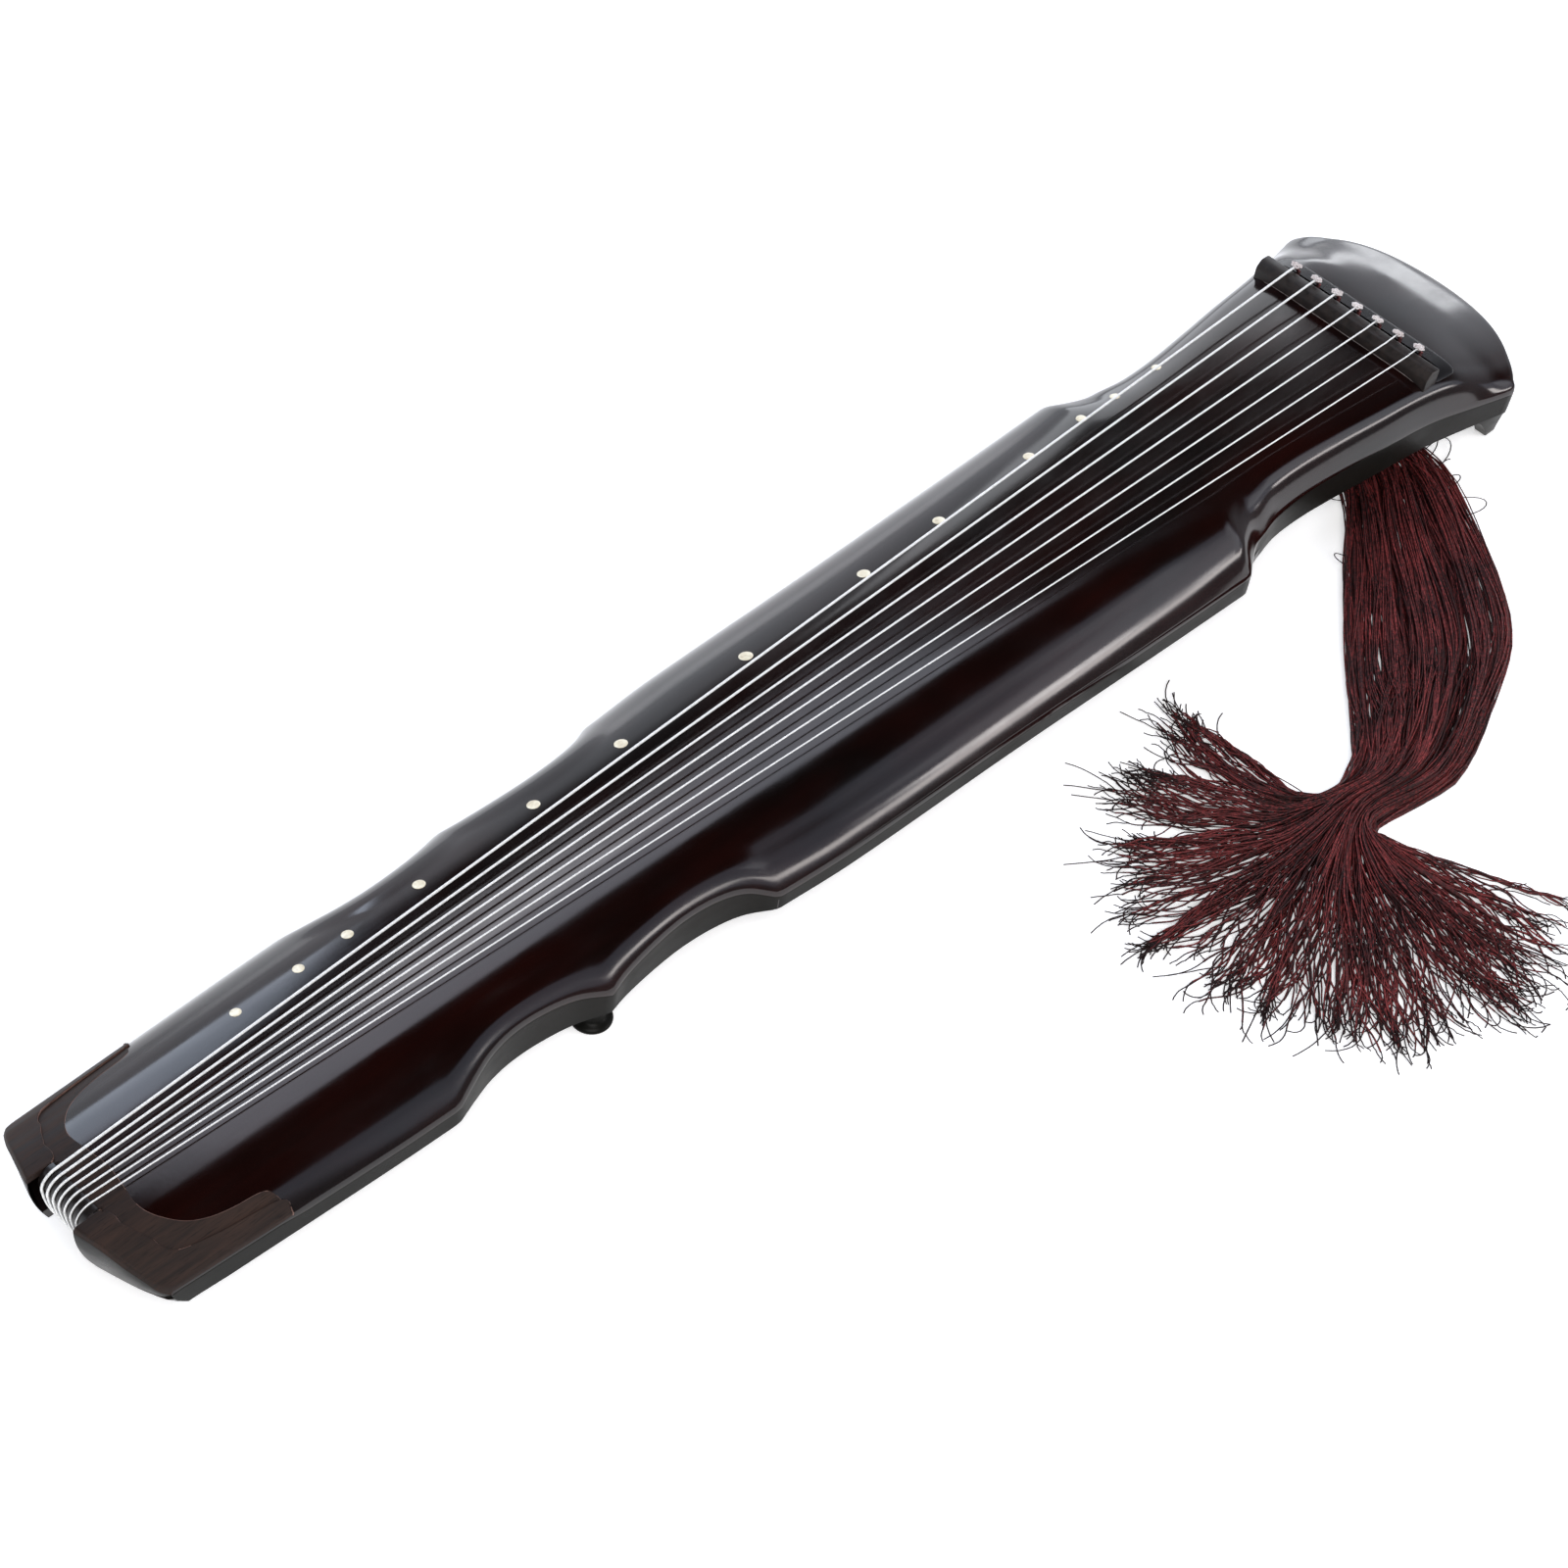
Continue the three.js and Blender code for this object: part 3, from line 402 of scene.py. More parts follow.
# Shared form
def smooth(table: Shares, place: float) -> float:
    """A smooth curve through a table of shares.

    Args:
        table: rows of place and value.
        place: where the value is wanted.

    Returns:
        The value there.
    """
    rows = table if table[0][0] < table[-1][0] else table[::-1]
    last = len(rows) - 1
    at = min(max(place, rows[0][0]), rows[last][0])
    i = 0
    while i < last - 1 and at > rows[i + 1][0]:
        i += 1

    def slope(k: int) -> float:
        """The table's slope round a row."""
        a, b = rows[max(k - 1, 0)], rows[min(k + 1, last)]
        return (b[1] - a[1]) / (b[0] - a[0])

    span = rows[i + 1][0] - rows[i][0]
    t = (at - rows[i][0]) / span
    blend = t * t * (3 - 2 * t)
    rise = rows[i][1] * (1 - blend) + rows[i + 1][1] * blend
    return rise + t * (1 - t) ** 2 * slope(i) * span - t * t * (1 - t) * slope(i + 1) * span


@dataclass
class BodyForm:
    """The body's shape in metres: plan outline, arch and ends, as in the part's source."""

    length: float = 1.120
    bridge_x: float = 0.503
    half_length: float = 0.633
    floor: float = 0.028
    shoulder: float = 0.1017
    crown_height: float = 0.053
    tail_half: float = 0.074
    tail_bow: float = 0.0015
    head_radius: float = 0.1255
    head_swell: float = 0.0045
    head_bend: float = math.pi * 0.285
    undercut: float = 0.011
    undercut_height: float = 0.042
    undercut_bend: float = 1.8
    undercut_reach: float = 0.036
    undercut_fade: float = 0.024
    corner_relief: float = 0.7
    roll: float = 0.007
    roll_step: float = 0.002
    plate_x: float = -0.52
    plate_fade: float = 0.02
    plate_roll_share: float = 0.2
    fullness: float = 0.0022
    full_width: float = 0.024
    arch_bend: float = 1.2
    notch_half: float = 0.0203
    notch_x: float = -0.6159
    foot_x: float = -0.28604
    foot_y: float = 0.060
    foot_neck: float = 0.008
    peg_x: float = 0.522
    strings: int = 7
    string_spread: float = 0.1132
    outline: list[Shares] = field(default_factory=lambda: [
        [(0.9911, 0.707), (0.9464, 0.7296), (0.8571, 0.7738), (0.8152, 0.7876)],
        [(0.8152, 0.7876), (0.7991, 0.7257), (0.7857, 0.6824), (0.7696, 0.6598), (0.75, 0.6657),
         (0.7277, 0.704), (0.708, 0.7778)],
        [(0.708, 0.7778), (0.6946, 0.7434), (0.6696, 0.7099), (0.6473, 0.6991), (0.625, 0.7188),
         (0.6071, 0.767), (0.5902, 0.8663)],
        [(0.5902, 0.8663), (0.5357, 0.9066), (0.4018, 0.9341), (0.2679, 0.9794), (0.1946, 1)],
        [(0.1946, 1), (0.175, 0.8574), (0.1607, 0.8171), (0.1429, 0.7768), (0.1161, 0.7709),
         (0.0804, 0.8004), (0.0446, 0.8417), (0, 0.8918), (-0.0446, 0.9843), (-0.0714, 1.0452)]])
    blank: Shares = field(default_factory=lambda: [
        (1.0179, 0.7227), (0.8152, 0.7876), (0.5902, 0.8663), (0.5357, 0.9066), (0.4018, 0.9341),
        (0.2679, 0.9794), (0.1946, 1), (-0.0714, 1.0295), (-0.1179, 1.0423)])
    flatness: Shares = field(default_factory=lambda: [
        (0.55, 3.4), (0.4, 3.6), (0.25, 4.6), (0.1946, 5.8), (0.12, 8), (0.06, 10), (0, 12),
        (-0.0268, 11), (-0.0446, 7), (-0.0625, 4.5), (-0.1179, 3.4)])
    crown: Shares = field(default_factory=lambda: [
        (1.0179, 0.8547), (1, 0.8642), (0.875, 0.8962), (0.4018, 0.9623), (0.0893, 1), (0, 0.9717),
        (-0.0312, 0.9151), (-0.0536, 0.8491), (-0.0759, 0.7453), (-0.0938, 0.6377), (-0.1071, 0.5528),
        (-0.1179, 0.4717)])
    edge: Shares = field(default_factory=lambda: [
        (1.0179, 0.3094), (0.8152, 0.2943), (0.5902, 0.266), (0.4018, 0.2962), (0.1946, 0.3189),
        (0.175, 0.39), (0.15, 0.45), (0.1161, 0.49), (0.06, 0.51), (0, 0.48), (-0.0351, 0.42),
        (-0.0714, 0.3868), (-0.1179, 0.3774)])
    tail_end: Shares = field(default_factory=lambda: [
        (0, 0), (0.0203, 0.2784), (0.0541, 0.4054), (0.1014, 0.5608), (0.1554, 0.7162),
        (0.223, 0.8514), (0.277, 0.9257), (0.3446, 0.9676)])

    def share(self, x: float) -> float:
        """How far x lies from the bridge towards the nut."""
        return (self.bridge_x - x) / self.length

    def place(self, share: float) -> float:
        """The x at a share of the string length from the bridge."""
        return self.bridge_x - share * self.length

    def string_y(self, i: int) -> float:
        """Where a string crosses the bridge, over its own peg."""
        return self.string_spread * (0.5 - i / (self.strings - 1))

    def half_width(self, x: float) -> float:
        """Half the plan width.

        Args:
            x: where along the body.

        Returns:
            The width from the middle line.
        """
        s = self.share(x)
        for run in self.outline:
            if s >= run[-1][0]:
                return self.shoulder * smooth(run, s)
        return self.shoulder * self.outline[-1][-1][1]

    def top(self, x: float, y: float) -> float:
        """The arched top's height.

        Args:
            x: where along the body.
            y: where across it.

        Returns:
            The height over the floor.
        """
        s = self.share(x)
        wide = self.shoulder * smooth(self.outline[-1] if s < self.outline[-1][0][0] else self.blank, s)
        edge, crown = (self.floor + self.crown_height * smooth(table, s) for table in (self.edge, self.crown))
        t = min(1.0, abs(y) / wide)
        return edge + (crown - edge) * (1 - t ** smooth(self.flatness, s)) ** self.arch_bend

    def full(self, x: float, y: float) -> float:
        """The top's height with its edge rounded over, a little fuller just inside the outline."""
        u = min(1.0, max(0.0, self.half_width(x) - abs(y)) / self.full_width)
        return self.top(x, y) + self.fullness * (27 / 4) * u * (1 - u) ** 2

    def rolled(self, x: float, y: float) -> float:
        """The top's height with its side edges rolled over to the upright wall.

        Args:
            x: where along the body.
            y: where across it.

        Returns:
            The height over the floor.
        """
        half = self.half_width(x)
        inside = max(0.0, half - abs(y))
        fade = max(self.plate_roll_share, 1 - max(0.0, self.plate_x - x) / self.plate_fade)
        radius = self.roll * fade
        slope = (self.full(x, half - self.roll_step) - self.full(x, half)) / self.roll_step
        lean = math.hypot(1, slope)
        if inside >= radius * (1 - slope / lean):
            return self.full(x, y)
        centre = self.full(x, half) + slope * radius - radius * lean
        return min(self.full(x, y), centre + math.sqrt(max(0.0, radius ** 2 - (radius - inside) ** 2)))

    def head_turn(self, turn: float) -> tuple[float, float]:
        """A point of the head's end for a turn from the middle line, which swells towards the corner."""
        radius = self.head_radius + self.head_swell * (turn / self.head_bend) ** 3
        return self.half_length - self.head_radius + radius * math.cos(turn), radius * math.sin(turn)

    def head_x(self, y: float) -> float:
        """Where the head ends.

        Args:
            y: the distance from the middle line.

        Returns:
            The x of its end.
        """
        y = abs(y)
        start_x, start_y = self.head_turn(self.head_bend)
        if y > start_y:
            corner_x, corner_y = self.place(self.outline[-1][-1][0]), self.half_width(self.half_length)
            t = min(1.0, (y - start_y) / (corner_y - start_y))
            return corner_x + (start_x - corner_x) * math.sqrt(1 - t * t)
        low, high = 0.0, self.head_bend
        for _ in range(30):
            middle = (low + high) / 2
            low, high = (middle, high) if self.head_turn(middle)[1] < y else (low, middle)
        return self.head_turn(low)[0]

    def tail_x(self, y: float) -> float:
        """Where the tail ends.

        Args:
            y: the distance from the middle line.

        Returns:
            The x of its end.
        """
        rows = [(v, u) for u, v in self.tail_end]
        reach = min(abs(y) / self.tail_half, rows[-1][0])
        return -self.half_length - self.tail_bow + self.tail_half * smooth(rows, reach)

    def draw_in(self, x: float, y: float, z: float) -> float:
        """How far an end wall is drawn in, more at the middle of the head than at its corners.

        Args:
            x: where along the body.
            y: where across it.
            z: the height.

        Returns:
            How far the wall lies inside the top's edge.
        """
        end = -self.half_length if x < 0 else self.half_length
        near = max(0.0, 1 - max(0.0, abs(x - end) - self.undercut_reach) / self.undercut_fade)
        corner = 1 if x < 0 else 1 - self.corner_relief * (y / self.shoulder) ** 2
        edge = min(self.top(x, y) - self.floor, self.undercut_height)
        depth = max(0.0, (edge - (z - self.floor)) / edge)
        return self.undercut * depth ** self.undercut_bend * near * corner


FORM = BodyForm()


# Mesh helpers
MERGE = 0.00002


def add_piece(mesh: bpy.types.Mesh, node: str | None = None, body: str = "body") -> Piece:
    """Puts a mesh into the scene as a piece.

    Args:
        mesh: its mesh, which has the piece's name.
        node: the CAD node that it stands for.
        body: the CAD body that it moves with.

    Returns:
        The piece.
    """
    piece = bpy.data.objects.new(mesh.name, mesh)
    bpy.context.scene.collection.objects.link(piece)
    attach(piece, body)
    if node:
        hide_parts(node)
    return piece


def finish_mesh(bm: BMesh, name: str, materials: list[Material], sharp: float = 180) -> bpy.types.Mesh:
    """Turns a bmesh into a mesh, smooth but for its sharp edges.

    Args:
        bm: the shape, freed here.
        name: the mesh's name.
        materials: its finishes.
        sharp: the angle in degrees past which an edge stays sharp.

    Returns:
        The mesh.
    """
    mesh = bpy.data.meshes.new(name)
    for face in bm.faces:
        face.smooth = True
    bm.to_mesh(mesh)
    bm.free()
    for material in materials:
        mesh.materials.append(material)
    if sharp < 180:
        mesh.set_sharp_from_angle(angle=math.radians(sharp))
    return mesh


def grid_sheet(rows: int, columns: int, place: Callable[[float, float], tuple]) -> BMesh:
    """A grid whose points are carried to their places.

    Args:
        rows: how many steps go along the first way.
        columns: how many steps go along the second.
        place: gives a point for two shares from 0 to 1.

    Returns:
        The sheet as a bmesh.
    """
    bm = bmesh.new()
    bmesh.ops.create_grid(bm, x_segments=rows, y_segments=columns, size=0.5)
    for vert in bm.verts:
        vert.co = place(vert.co.x + 0.5, vert.co.y + 0.5)
    bmesh.ops.recalc_face_normals(bm, faces=bm.faces[:])
    return bm


def face_way(bm: BMesh, up: bool) -> None:
    """Turns a sheet over unless most of it faces up or down as it should."""
    if (sum(face.normal.z * face.calc_area() for face in bm.faces) > 0) != up:
        bmesh.ops.reverse_faces(bm, faces=bm.faces[:])


def new_verts(made: dict) -> list[bmesh.types.BMVert]:
    """The points among what an operator made."""
    return [item for item in made["geom"] if isinstance(item, bmesh.types.BMVert)]


def thicken(bm: BMesh, depth: float) -> None:
    """Makes a sheet into a closed wall by a second skin inside it.

    Args:
        bm: the sheet, with its faces outward.
        depth: how thick the wall is.
    """
    bm.normal_update()
    inward = {tuple(round(c, 7) for c in vert.co): vert.normal * -depth for vert in bm.verts}
    for vert in new_verts(bmesh.ops.extrude_face_region(bm, geom=bm.faces[:], use_keep_orig=True)):
        vert.co += inward[tuple(round(c, 7) for c in vert.co)]
    bmesh.ops.recalc_face_normals(bm, faces=bm.faces[:])


def bevel(bm: BMesh, edges: list[bmesh.types.BMEdge], offset: float, segments: int, slot: int = -1) -> None:
    """Rounds some edges."""
    shape = {"offset": offset, "segments": segments, "profile": 0.5}
    bmesh.ops.bevel(bm, geom=edges, affect="EDGES", material=slot, **shape)


def turned(profile: Shares, at: Vector, steps: int) -> BMesh:
    """A turned piece: a profile spun about an upright axis.

    Args:
        profile: radius and height of each point, which starts and ends on the axis or closes.
        at: where the axis stands.
        steps: how many faces go round.

    Returns:
        The solid as a bmesh.
    """
    bm = bmesh.new()
    verts = [bm.verts.new((at.x + r, at.y, z)) for r, z in profile]
    edges = [bm.edges.new(pair) for pair in zip(verts, verts[1:])]
    way = {"axis": (0, 0, 1), "angle": math.tau, "steps": steps, "use_merge": True}
    bmesh.ops.spin(bm, geom=verts + edges, cent=at, **way)
    bmesh.ops.remove_doubles(bm, verts=bm.verts[:], dist=MERGE)
    bmesh.ops.recalc_face_normals(bm, faces=bm.faces[:])
    return bm


def tube_curve(name: str, routes: list[list[Vector]], radius: float, material: Material, sides: int,
               thin: list[float | list[float]] | None = None) -> bpy.types.Mesh:
    """Round threads along routes, as one mesh.

    Each point also keeps how far it faces up, which the silk's finish turns into painted shade, and each
    thread keeps a tone of its own.

    Args:
        name: the mesh's name.
        routes: the points of each thread.
        radius: the threads' radius.
        material: their finish.
        sides: the curve's bevel resolution, 0 for four sides.
        thin: a radius share for each thread, or one for each of its points.

    Returns:
        The mesh.
    """
    curve = bpy.data.curves.new(name, "CURVE")
    curve.dimensions = "3D"
    curve.bevel_depth = radius
    curve.bevel_resolution = sides
    curve.use_fill_caps = True
    for route, share in zip(routes, thin or [1.0] * len(routes)):
        spline = curve.splines.new("POLY")
        spline.points.add(len(route) - 1)
        spline.points.foreach_set("co", [value for point in route for value in (*point, 1)])
        spline.points.foreach_set("radius", share if isinstance(share, list) else [share] * len(route))
        spline.use_smooth = True
    drawn = bpy.data.objects.new(name + "_drawn", curve)
    bpy.context.scene.collection.objects.link(drawn)
    bpy.context.view_layer.update()
    mesh = bpy.data.meshes.new_from_object(drawn.evaluated_get(bpy.context.evaluated_depsgraph_get()))
    mesh.name = name
    mesh.materials.clear()
    mesh.materials.append(material)
    bpy.data.objects.remove(drawn)
    bpy.data.curves.remove(curve)
    # How far each point faces up: the yarn's finish paints shade where this is low.
    upward = mesh.attributes.new("upward", "FLOAT", "POINT")
    upward.data.foreach_set("value", [max(0.0, vert.normal.z) for vert in mesh.vertices])
    chance, ring, tones, done = random.Random(len(routes)), len(mesh.vertices) / sum(map(len, routes)), [], 0
    for route in routes:
        done += len(route)
        tones += [chance.random()] * (round(done * ring) - len(tones))
    mesh.attributes.new("tone", "FLOAT", "POINT").data.foreach_set("value", tones)
    return mesh


# Camera, floor and lights
@dataclass
class PhotoView:
    """The camera that stands where the photograph was taken."""

    place: tuple = (-1.14784, -0.84997, 1.55206)
    yaw: float = 0.908228
    pitch: float = 0.845449
    roll: float = 0.158626
    lens: float = 73.635
    sensor: float = 36
    sight: float = 50

    def build(self) -> None:
        """Makes the camera and looks through it."""
        level_share = math.cos(self.pitch)
        x, y = math.sin(self.yaw) * level_share, math.cos(self.yaw) * level_share
        ahead = Vector((x, y, -math.sin(self.pitch)))
        level = Vector((math.cos(self.yaw), -math.sin(self.yaw), 0))
        above = level.cross(ahead)
        right = math.cos(self.roll) * level + math.sin(self.roll) * above
        up = -math.sin(self.roll) * level + math.cos(self.roll) * above
        data = bpy.data.cameras.new("photo_view")
        data.lens = self.lens
        data.sensor_width = self.sensor
        data.clip_end = self.sight
        camera = bpy.data.objects.new("photo_view", data)
        turn = Matrix((right, up, -ahead)).transposed().to_4x4()
        camera.matrix_world = Matrix.Translation(self.place) @ turn
        bpy.context.scene.collection.objects.link(camera)
        bpy.context.scene.camera = camera


@dataclass(frozen=True)
class Panel:
    """One soft panel of light: its place, the point that it faces, its size, power in watts and colour."""

    name: str
    place: tuple
    aim: tuple
    width: float
    height: float
    power: float
    color: tuple

    def hang(self) -> None:
        """Makes the light and hangs it."""
        data = bpy.data.lights.new(self.name, "AREA")
        data.shape = "RECTANGLE"
        data.size = self.width
        data.size_y = self.height
        data.energy = self.power
        data.color = self.color
        light = bpy.data.objects.new(self.name, data)
        turn = (Vector(self.aim) - Vector(self.place)).to_track_quat("-Z", "Y")
        light.matrix_world = Matrix.Translation(self.place) @ turn.to_matrix().to_4x4()
        bpy.context.scene.collection.objects.link(light)


@dataclass
class Studio:
    """A pale floor, soft panels of light and a dim room."""

    floor_size: float = 14.0
    floor_tone: tuple = (0.93, 0.93, 0.93)
    floor_glow: float = 0.42
    room_color: tuple = (0.87, 0.91, 1.0)
    brightest: float = 1.2
    by_height: tuple = ((0.0, 1.1), (0.38, 1.05), (0.49, 0.5), (0.57, 0.06), (0.8, 0.02))
    by_side: tuple = ((-1.0, 0.16), (-0.6, 0.32), (-0.1, 0.6), (0.3, 1.0), (1.0, 1.0))
    panels: tuple = (
        Panel("soft_key", (-1.6, -2.0, 2.9), (0.1, -0.1, 0), 2.6, 2.2, 105, (1.0, 0.985, 0.97)),
        Panel("tail_panel", (-0.07, 2.42, 1.80), (-0.5, 0, 0.08), 1.6, 1.5, 30, (0.75, 0.86, 1.04)),
        Panel("over_panel", (1.0, 0.75, 2.49), (1.0, 0.75, 0), 1.6, 1.3, 18, (0.88, 0.91, 1.04)),
        Panel("near_panel", (2.02, -1.68, 1.63), (0.15, 0, 0.08), 1.1, 0.9, 3.0, (0.96, 0.97, 1.0)),
        Panel("near_fill", (1.50, -1.95, 1.42), (0.35, 0, 0.08), 2.6, 1.6, 10.5, (0.77, 0.85, 1.04)),
        Panel("near_strip", (1.52, -1.93, 0.84), (1.3, 0, 0.05), 1.6, 0.24, 10.5, (1.0, 0.93, 0.89)),
        Panel("flank_strip", (1.64, -2.17, 1.27), (0, 0, 0.08), 0.3, 0.33, 4.2, (1.0, 0.95, 0.93)),
        Panel("over_core", (0.96, 1.21, 2.44), (0.96, 1.21, 0), 0.55, 0.38, 2.0, (0.97, 0.96, 1.0)),
        Panel("head_panel", (2.52, 1.86, 1.16), (0.45, 0, 0.08), 1.3, 1.85, 19, (0.92, 0.95, 1.0)),
        Panel("rim_panel", (3.32, 1.27, 0.40), (0.6, 0, 0.08), 0.7, 0.3, 2.6, (0.95, 0.97, 1.0)))

    def build(self) -> None:
        """Makes the floor, the panels and the room's light."""
        self.floor()
        for panel in self.panels:
            panel.hang()
        world = bpy.data.worlds.new("pale_room")
        world.use_nodes = True
        room = Tree(world.node_tree)
        parts = room.add("SeparateXYZ", {0: room.add("TexCoord", {}).outputs["Generated"]}).outputs
        height, side = self.fade(room, parts["Z"], self.by_height), self.fade(room, parts["Y"], self.by_side)
        light = room.tree.nodes["Background"].inputs
        room.give(light["Strength"], room.math("MULTIPLY", height, side))
        room.give(light["Color"], self.room_color)
        bpy.context.scene.world = world
        bpy.context.scene.view_settings.view_transform = "Standard"

    def fade(self, room: Tree, value: Socket, stops: tuple) -> Socket:
        """A curve of the room's light over a direction from -1 to 1.

        Args:
            room: the world's nodes.
            value: the direction.
            stops: places and how light the room is there.

        Returns:
            The socket with the light.
        """
        span = room.add("MapRange", {"From Min": -1, "Value": value})
        ramp = room.add("FloatCurve", {"Value": span.outputs["Result"]})
        curve = ramp.mapping.curves[0]
        rows = [(-1.0, stops[0][1]), *stops]
        while len(curve.points) < len(rows):
            curve.points.new(0.5, 0.5)
        for k, point in enumerate(curve.points):
            point.location = ((rows[k][0] + 1) / 2 + 0.0001 * k, rows[k][1] / self.brightest)
            point.handle_type = "VECTOR"
        ramp.mapping.update()
        return room.math("MULTIPLY", ramp.outputs["Value"], self.brightest)

    def floor(self) -> None:
        """Lays the pale floor."""
        n = Nodes("pale_floor")
        n.shade(Base_Color=self.floor_tone, Roughness=0.85)
        n.shade(Emission_Color=(1, 1, 1), Emission_Strength=self.floor_glow)
        bm = bmesh.new()
        bmesh.ops.create_grid(bm, x_segments=1, y_segments=1, size=self.floor_size / 2)
        mesh = bpy.data.meshes.new("studio_floor")
        bm.to_mesh(mesh)
        bm.free()
        mesh.materials.append(n.material)
        floor = bpy.data.objects.new("studio_floor", mesh)
        bpy.context.scene.collection.objects.link(floor)


# Silk tassels
def bounded(value: float, low: float, high: float) -> float:
    """A value kept between two limits."""
    return min(max(value, low), high)


@dataclass
class Lock:
    """The course that a lock of threads shares: its place across and up, its drift, turn, curl and reach."""

    across: float
    up: float
    drift: list[float]
    turn: float
    curl: float
    reach: float


@dataclass
class Tassels:
    """Seven silk tassels that lie as one bundle on the floor and end in a spread fan.

    The bundle has 8 stations from under the head to its waist and 4 more out to the fan's rim. What
    varies by chance has its usual amount here, in shares of a tassel's width, in radians or in metres.
    """

    count: int = 7
    seed: int = 410
    heap_height: float = 0.0145
    lift: float = 0.0003
    lane_left: Shares = field(default_factory=lambda: [
        (0.516, 0.063), (0.468, -0.012), (0.444, -0.069), (0.371, -0.130), (0.297, -0.190), (0.257, -0.226),
        (0.226, -0.243), (0.198, -0.242)])
    lane_right: Shares = field(default_factory=lambda: [
        (0.520, -0.063), (0.526, -0.070), (0.527, -0.080), (0.511, -0.122), (0.438, -0.222), (0.372, -0.262),
        (0.285, -0.291), (0.208, -0.283)])
    heights: tuple = (0.35, 0.36, 0.75, 1, 1, 1, 1, 1, 0.9, 0.7, 0.45, 0.25)
    fan_centre: tuple = (0.193, -0.262)
    fan_reach: float = 0.190
    fan_turn: tuple = (0.272, 0.803)
    fan_steps: tuple = (0.3, 0.55, 0.8, 1)
    fan_waver: tuple = (0, 0.030, 0.045, 0.012)
    rim: tuple = (0.70, 0.74, 0.79, 0.9, 1.0, 1.0, 0.92, 0.80)
    hook: tuple = (-0.30, -0.25, -0.19, -0.13, -0.07, 0, 0)
    most_bend: float = 0.31
    near_edge: float = -0.446
    hair_edge: float = -0.4562
    core_radius: float = 0.002
    core_up: float = 0.3
    core_end: int = 28
    core_taper: tuple = (0.85, 0.65, 0.4, 0.2)
    threads: tuple = (80, 84, 96, 104, 104, 104, 100)
    locks: int = 12
    lock_sway: float = 0.42
    lock_drift: float = 0.30
    lock_jitter: float = 0.07
    lock_turn: float = 0.05
    lock_curl: float = 0.10
    lock_reach: tuple = (0.92, 0.08, 0.72, 1.03)
    lock_wave: float = 7.5
    free_share: float = 0.16
    free_sway: float = 0.35
    free_loose: float = 0.26
    held_loose: float = 0.055
    held_up: float = 0.12
    reach_loss: float = 0.07
    end_turn: float = 0.035
    edge_jitter: float = 0.003
    level_jitter: float = 0.07
    over_edge: float = 0.012
    dome_fall: float = 0.55
    steps: int = 60
    fan_step: int = 38
    twist_size: float = 0.0006
    fan_twist_size: float = 0.0016
    wander_size: float = 0.0015
    fan_wander_size: float = 0.0009
    rise_size: float = 0.0009
    twist_pace: tuple = (0.8, 0.7)
    wander_pace: tuple = (0.37, 0.43)
    rise_pace: float = 0.5
    pace_share: tuple = (0.7, 1.3)
    wander_fade: int = 4
    hair_points: int = 7
    hair_length: tuple = (0.007, 0.021)
    long_hair: tuple = (0.028, 0.044)
    long_share: float = 0.07
    fork_share: float = 0.16
    hair_turn: tuple = (0.16, 0.3)
    hair_spin: float = 0.13
    hair_lift: tuple = (0.0001, 0.0005)
    strays_left: int = 4
    strays_right: int = 7
    stray_seed: int = 907
    stray_places: tuple = (0.6, 3.6)
    stray_lean: float = 0.6
    stray_steps: int = 10
    stray_length: tuple = (0.008, 0.02)
    stray_start: float = 0.008
    stray_height: float = 0.004
    loop_share: float = 0.4
    spread: float = 0.076
    thickness: tuple = (0.8, 1.12)
    thread_radius: float = 0.00064
    tip_radius: float = 0.00046

    def spot(self, k: int, j: float, reach: float = 1, bend: float = 0) -> tuple[float, float]:
        """The plan place of a station at a share across the bundle.

        Args:
            k: the station.
            j: the share from the left edge to the right.
            reach: how much of the fan's reach is used.
            bend: how far a thread's angle is turned.

        Returns:
            x and y.
        """
        if k < len(self.lane_left):
            (lx, ly), (rx, ry) = self.lane_left[k], self.lane_right[k]
            return lx + (rx - lx) * j, ly + (ry - ly) * j
        turn = math.tau * (self.fan_turn[0] + (self.fan_turn[1] - self.fan_turn[0]) * j) + bend
        rim = smooth([(n / self.count, r) for n, r in enumerate(self.rim)], bounded(j, 0, 1))
        out = self.fan_reach * rim * self.fan_steps[k - len(self.lane_left)] * reach
        return self.fan_centre[0] + out * math.cos(turn), self.fan_centre[1] + out * math.sin(turn)

    def route(self, places: list[tuple[float, float, float]], steps: int) -> list[Vector]:
        """A smooth route.

        Args:
            places: its stations.
            steps: how many steps it is drawn in.

        Returns:
            Its points.
        """
        tables = [[(k, place[axis]) for k, place in enumerate(places)] for axis in range(3)]
        last = len(places) - 1
        return [Vector(smooth(table, last * i / steps) for table in tables) for i in range(steps + 1)]

    def core(self, i: int) -> list[Vector]:
        """The middle line of one tassel.

        Args:
            i: the tassel.

        Returns:
            Its points.
        """
        low = self.lift + self.core_radius
        spots = [self.spot(k, (i + 0.5) / self.count) for k in range(len(self.heights))]
        heights = [low + self.core_up * h * self.heap_height for h in self.heights]
        places = [(x, y, z) for (x, y), z in zip(spots, heights)]
        return self.route(places, self.steps // 2)[:self.core_end + 1]

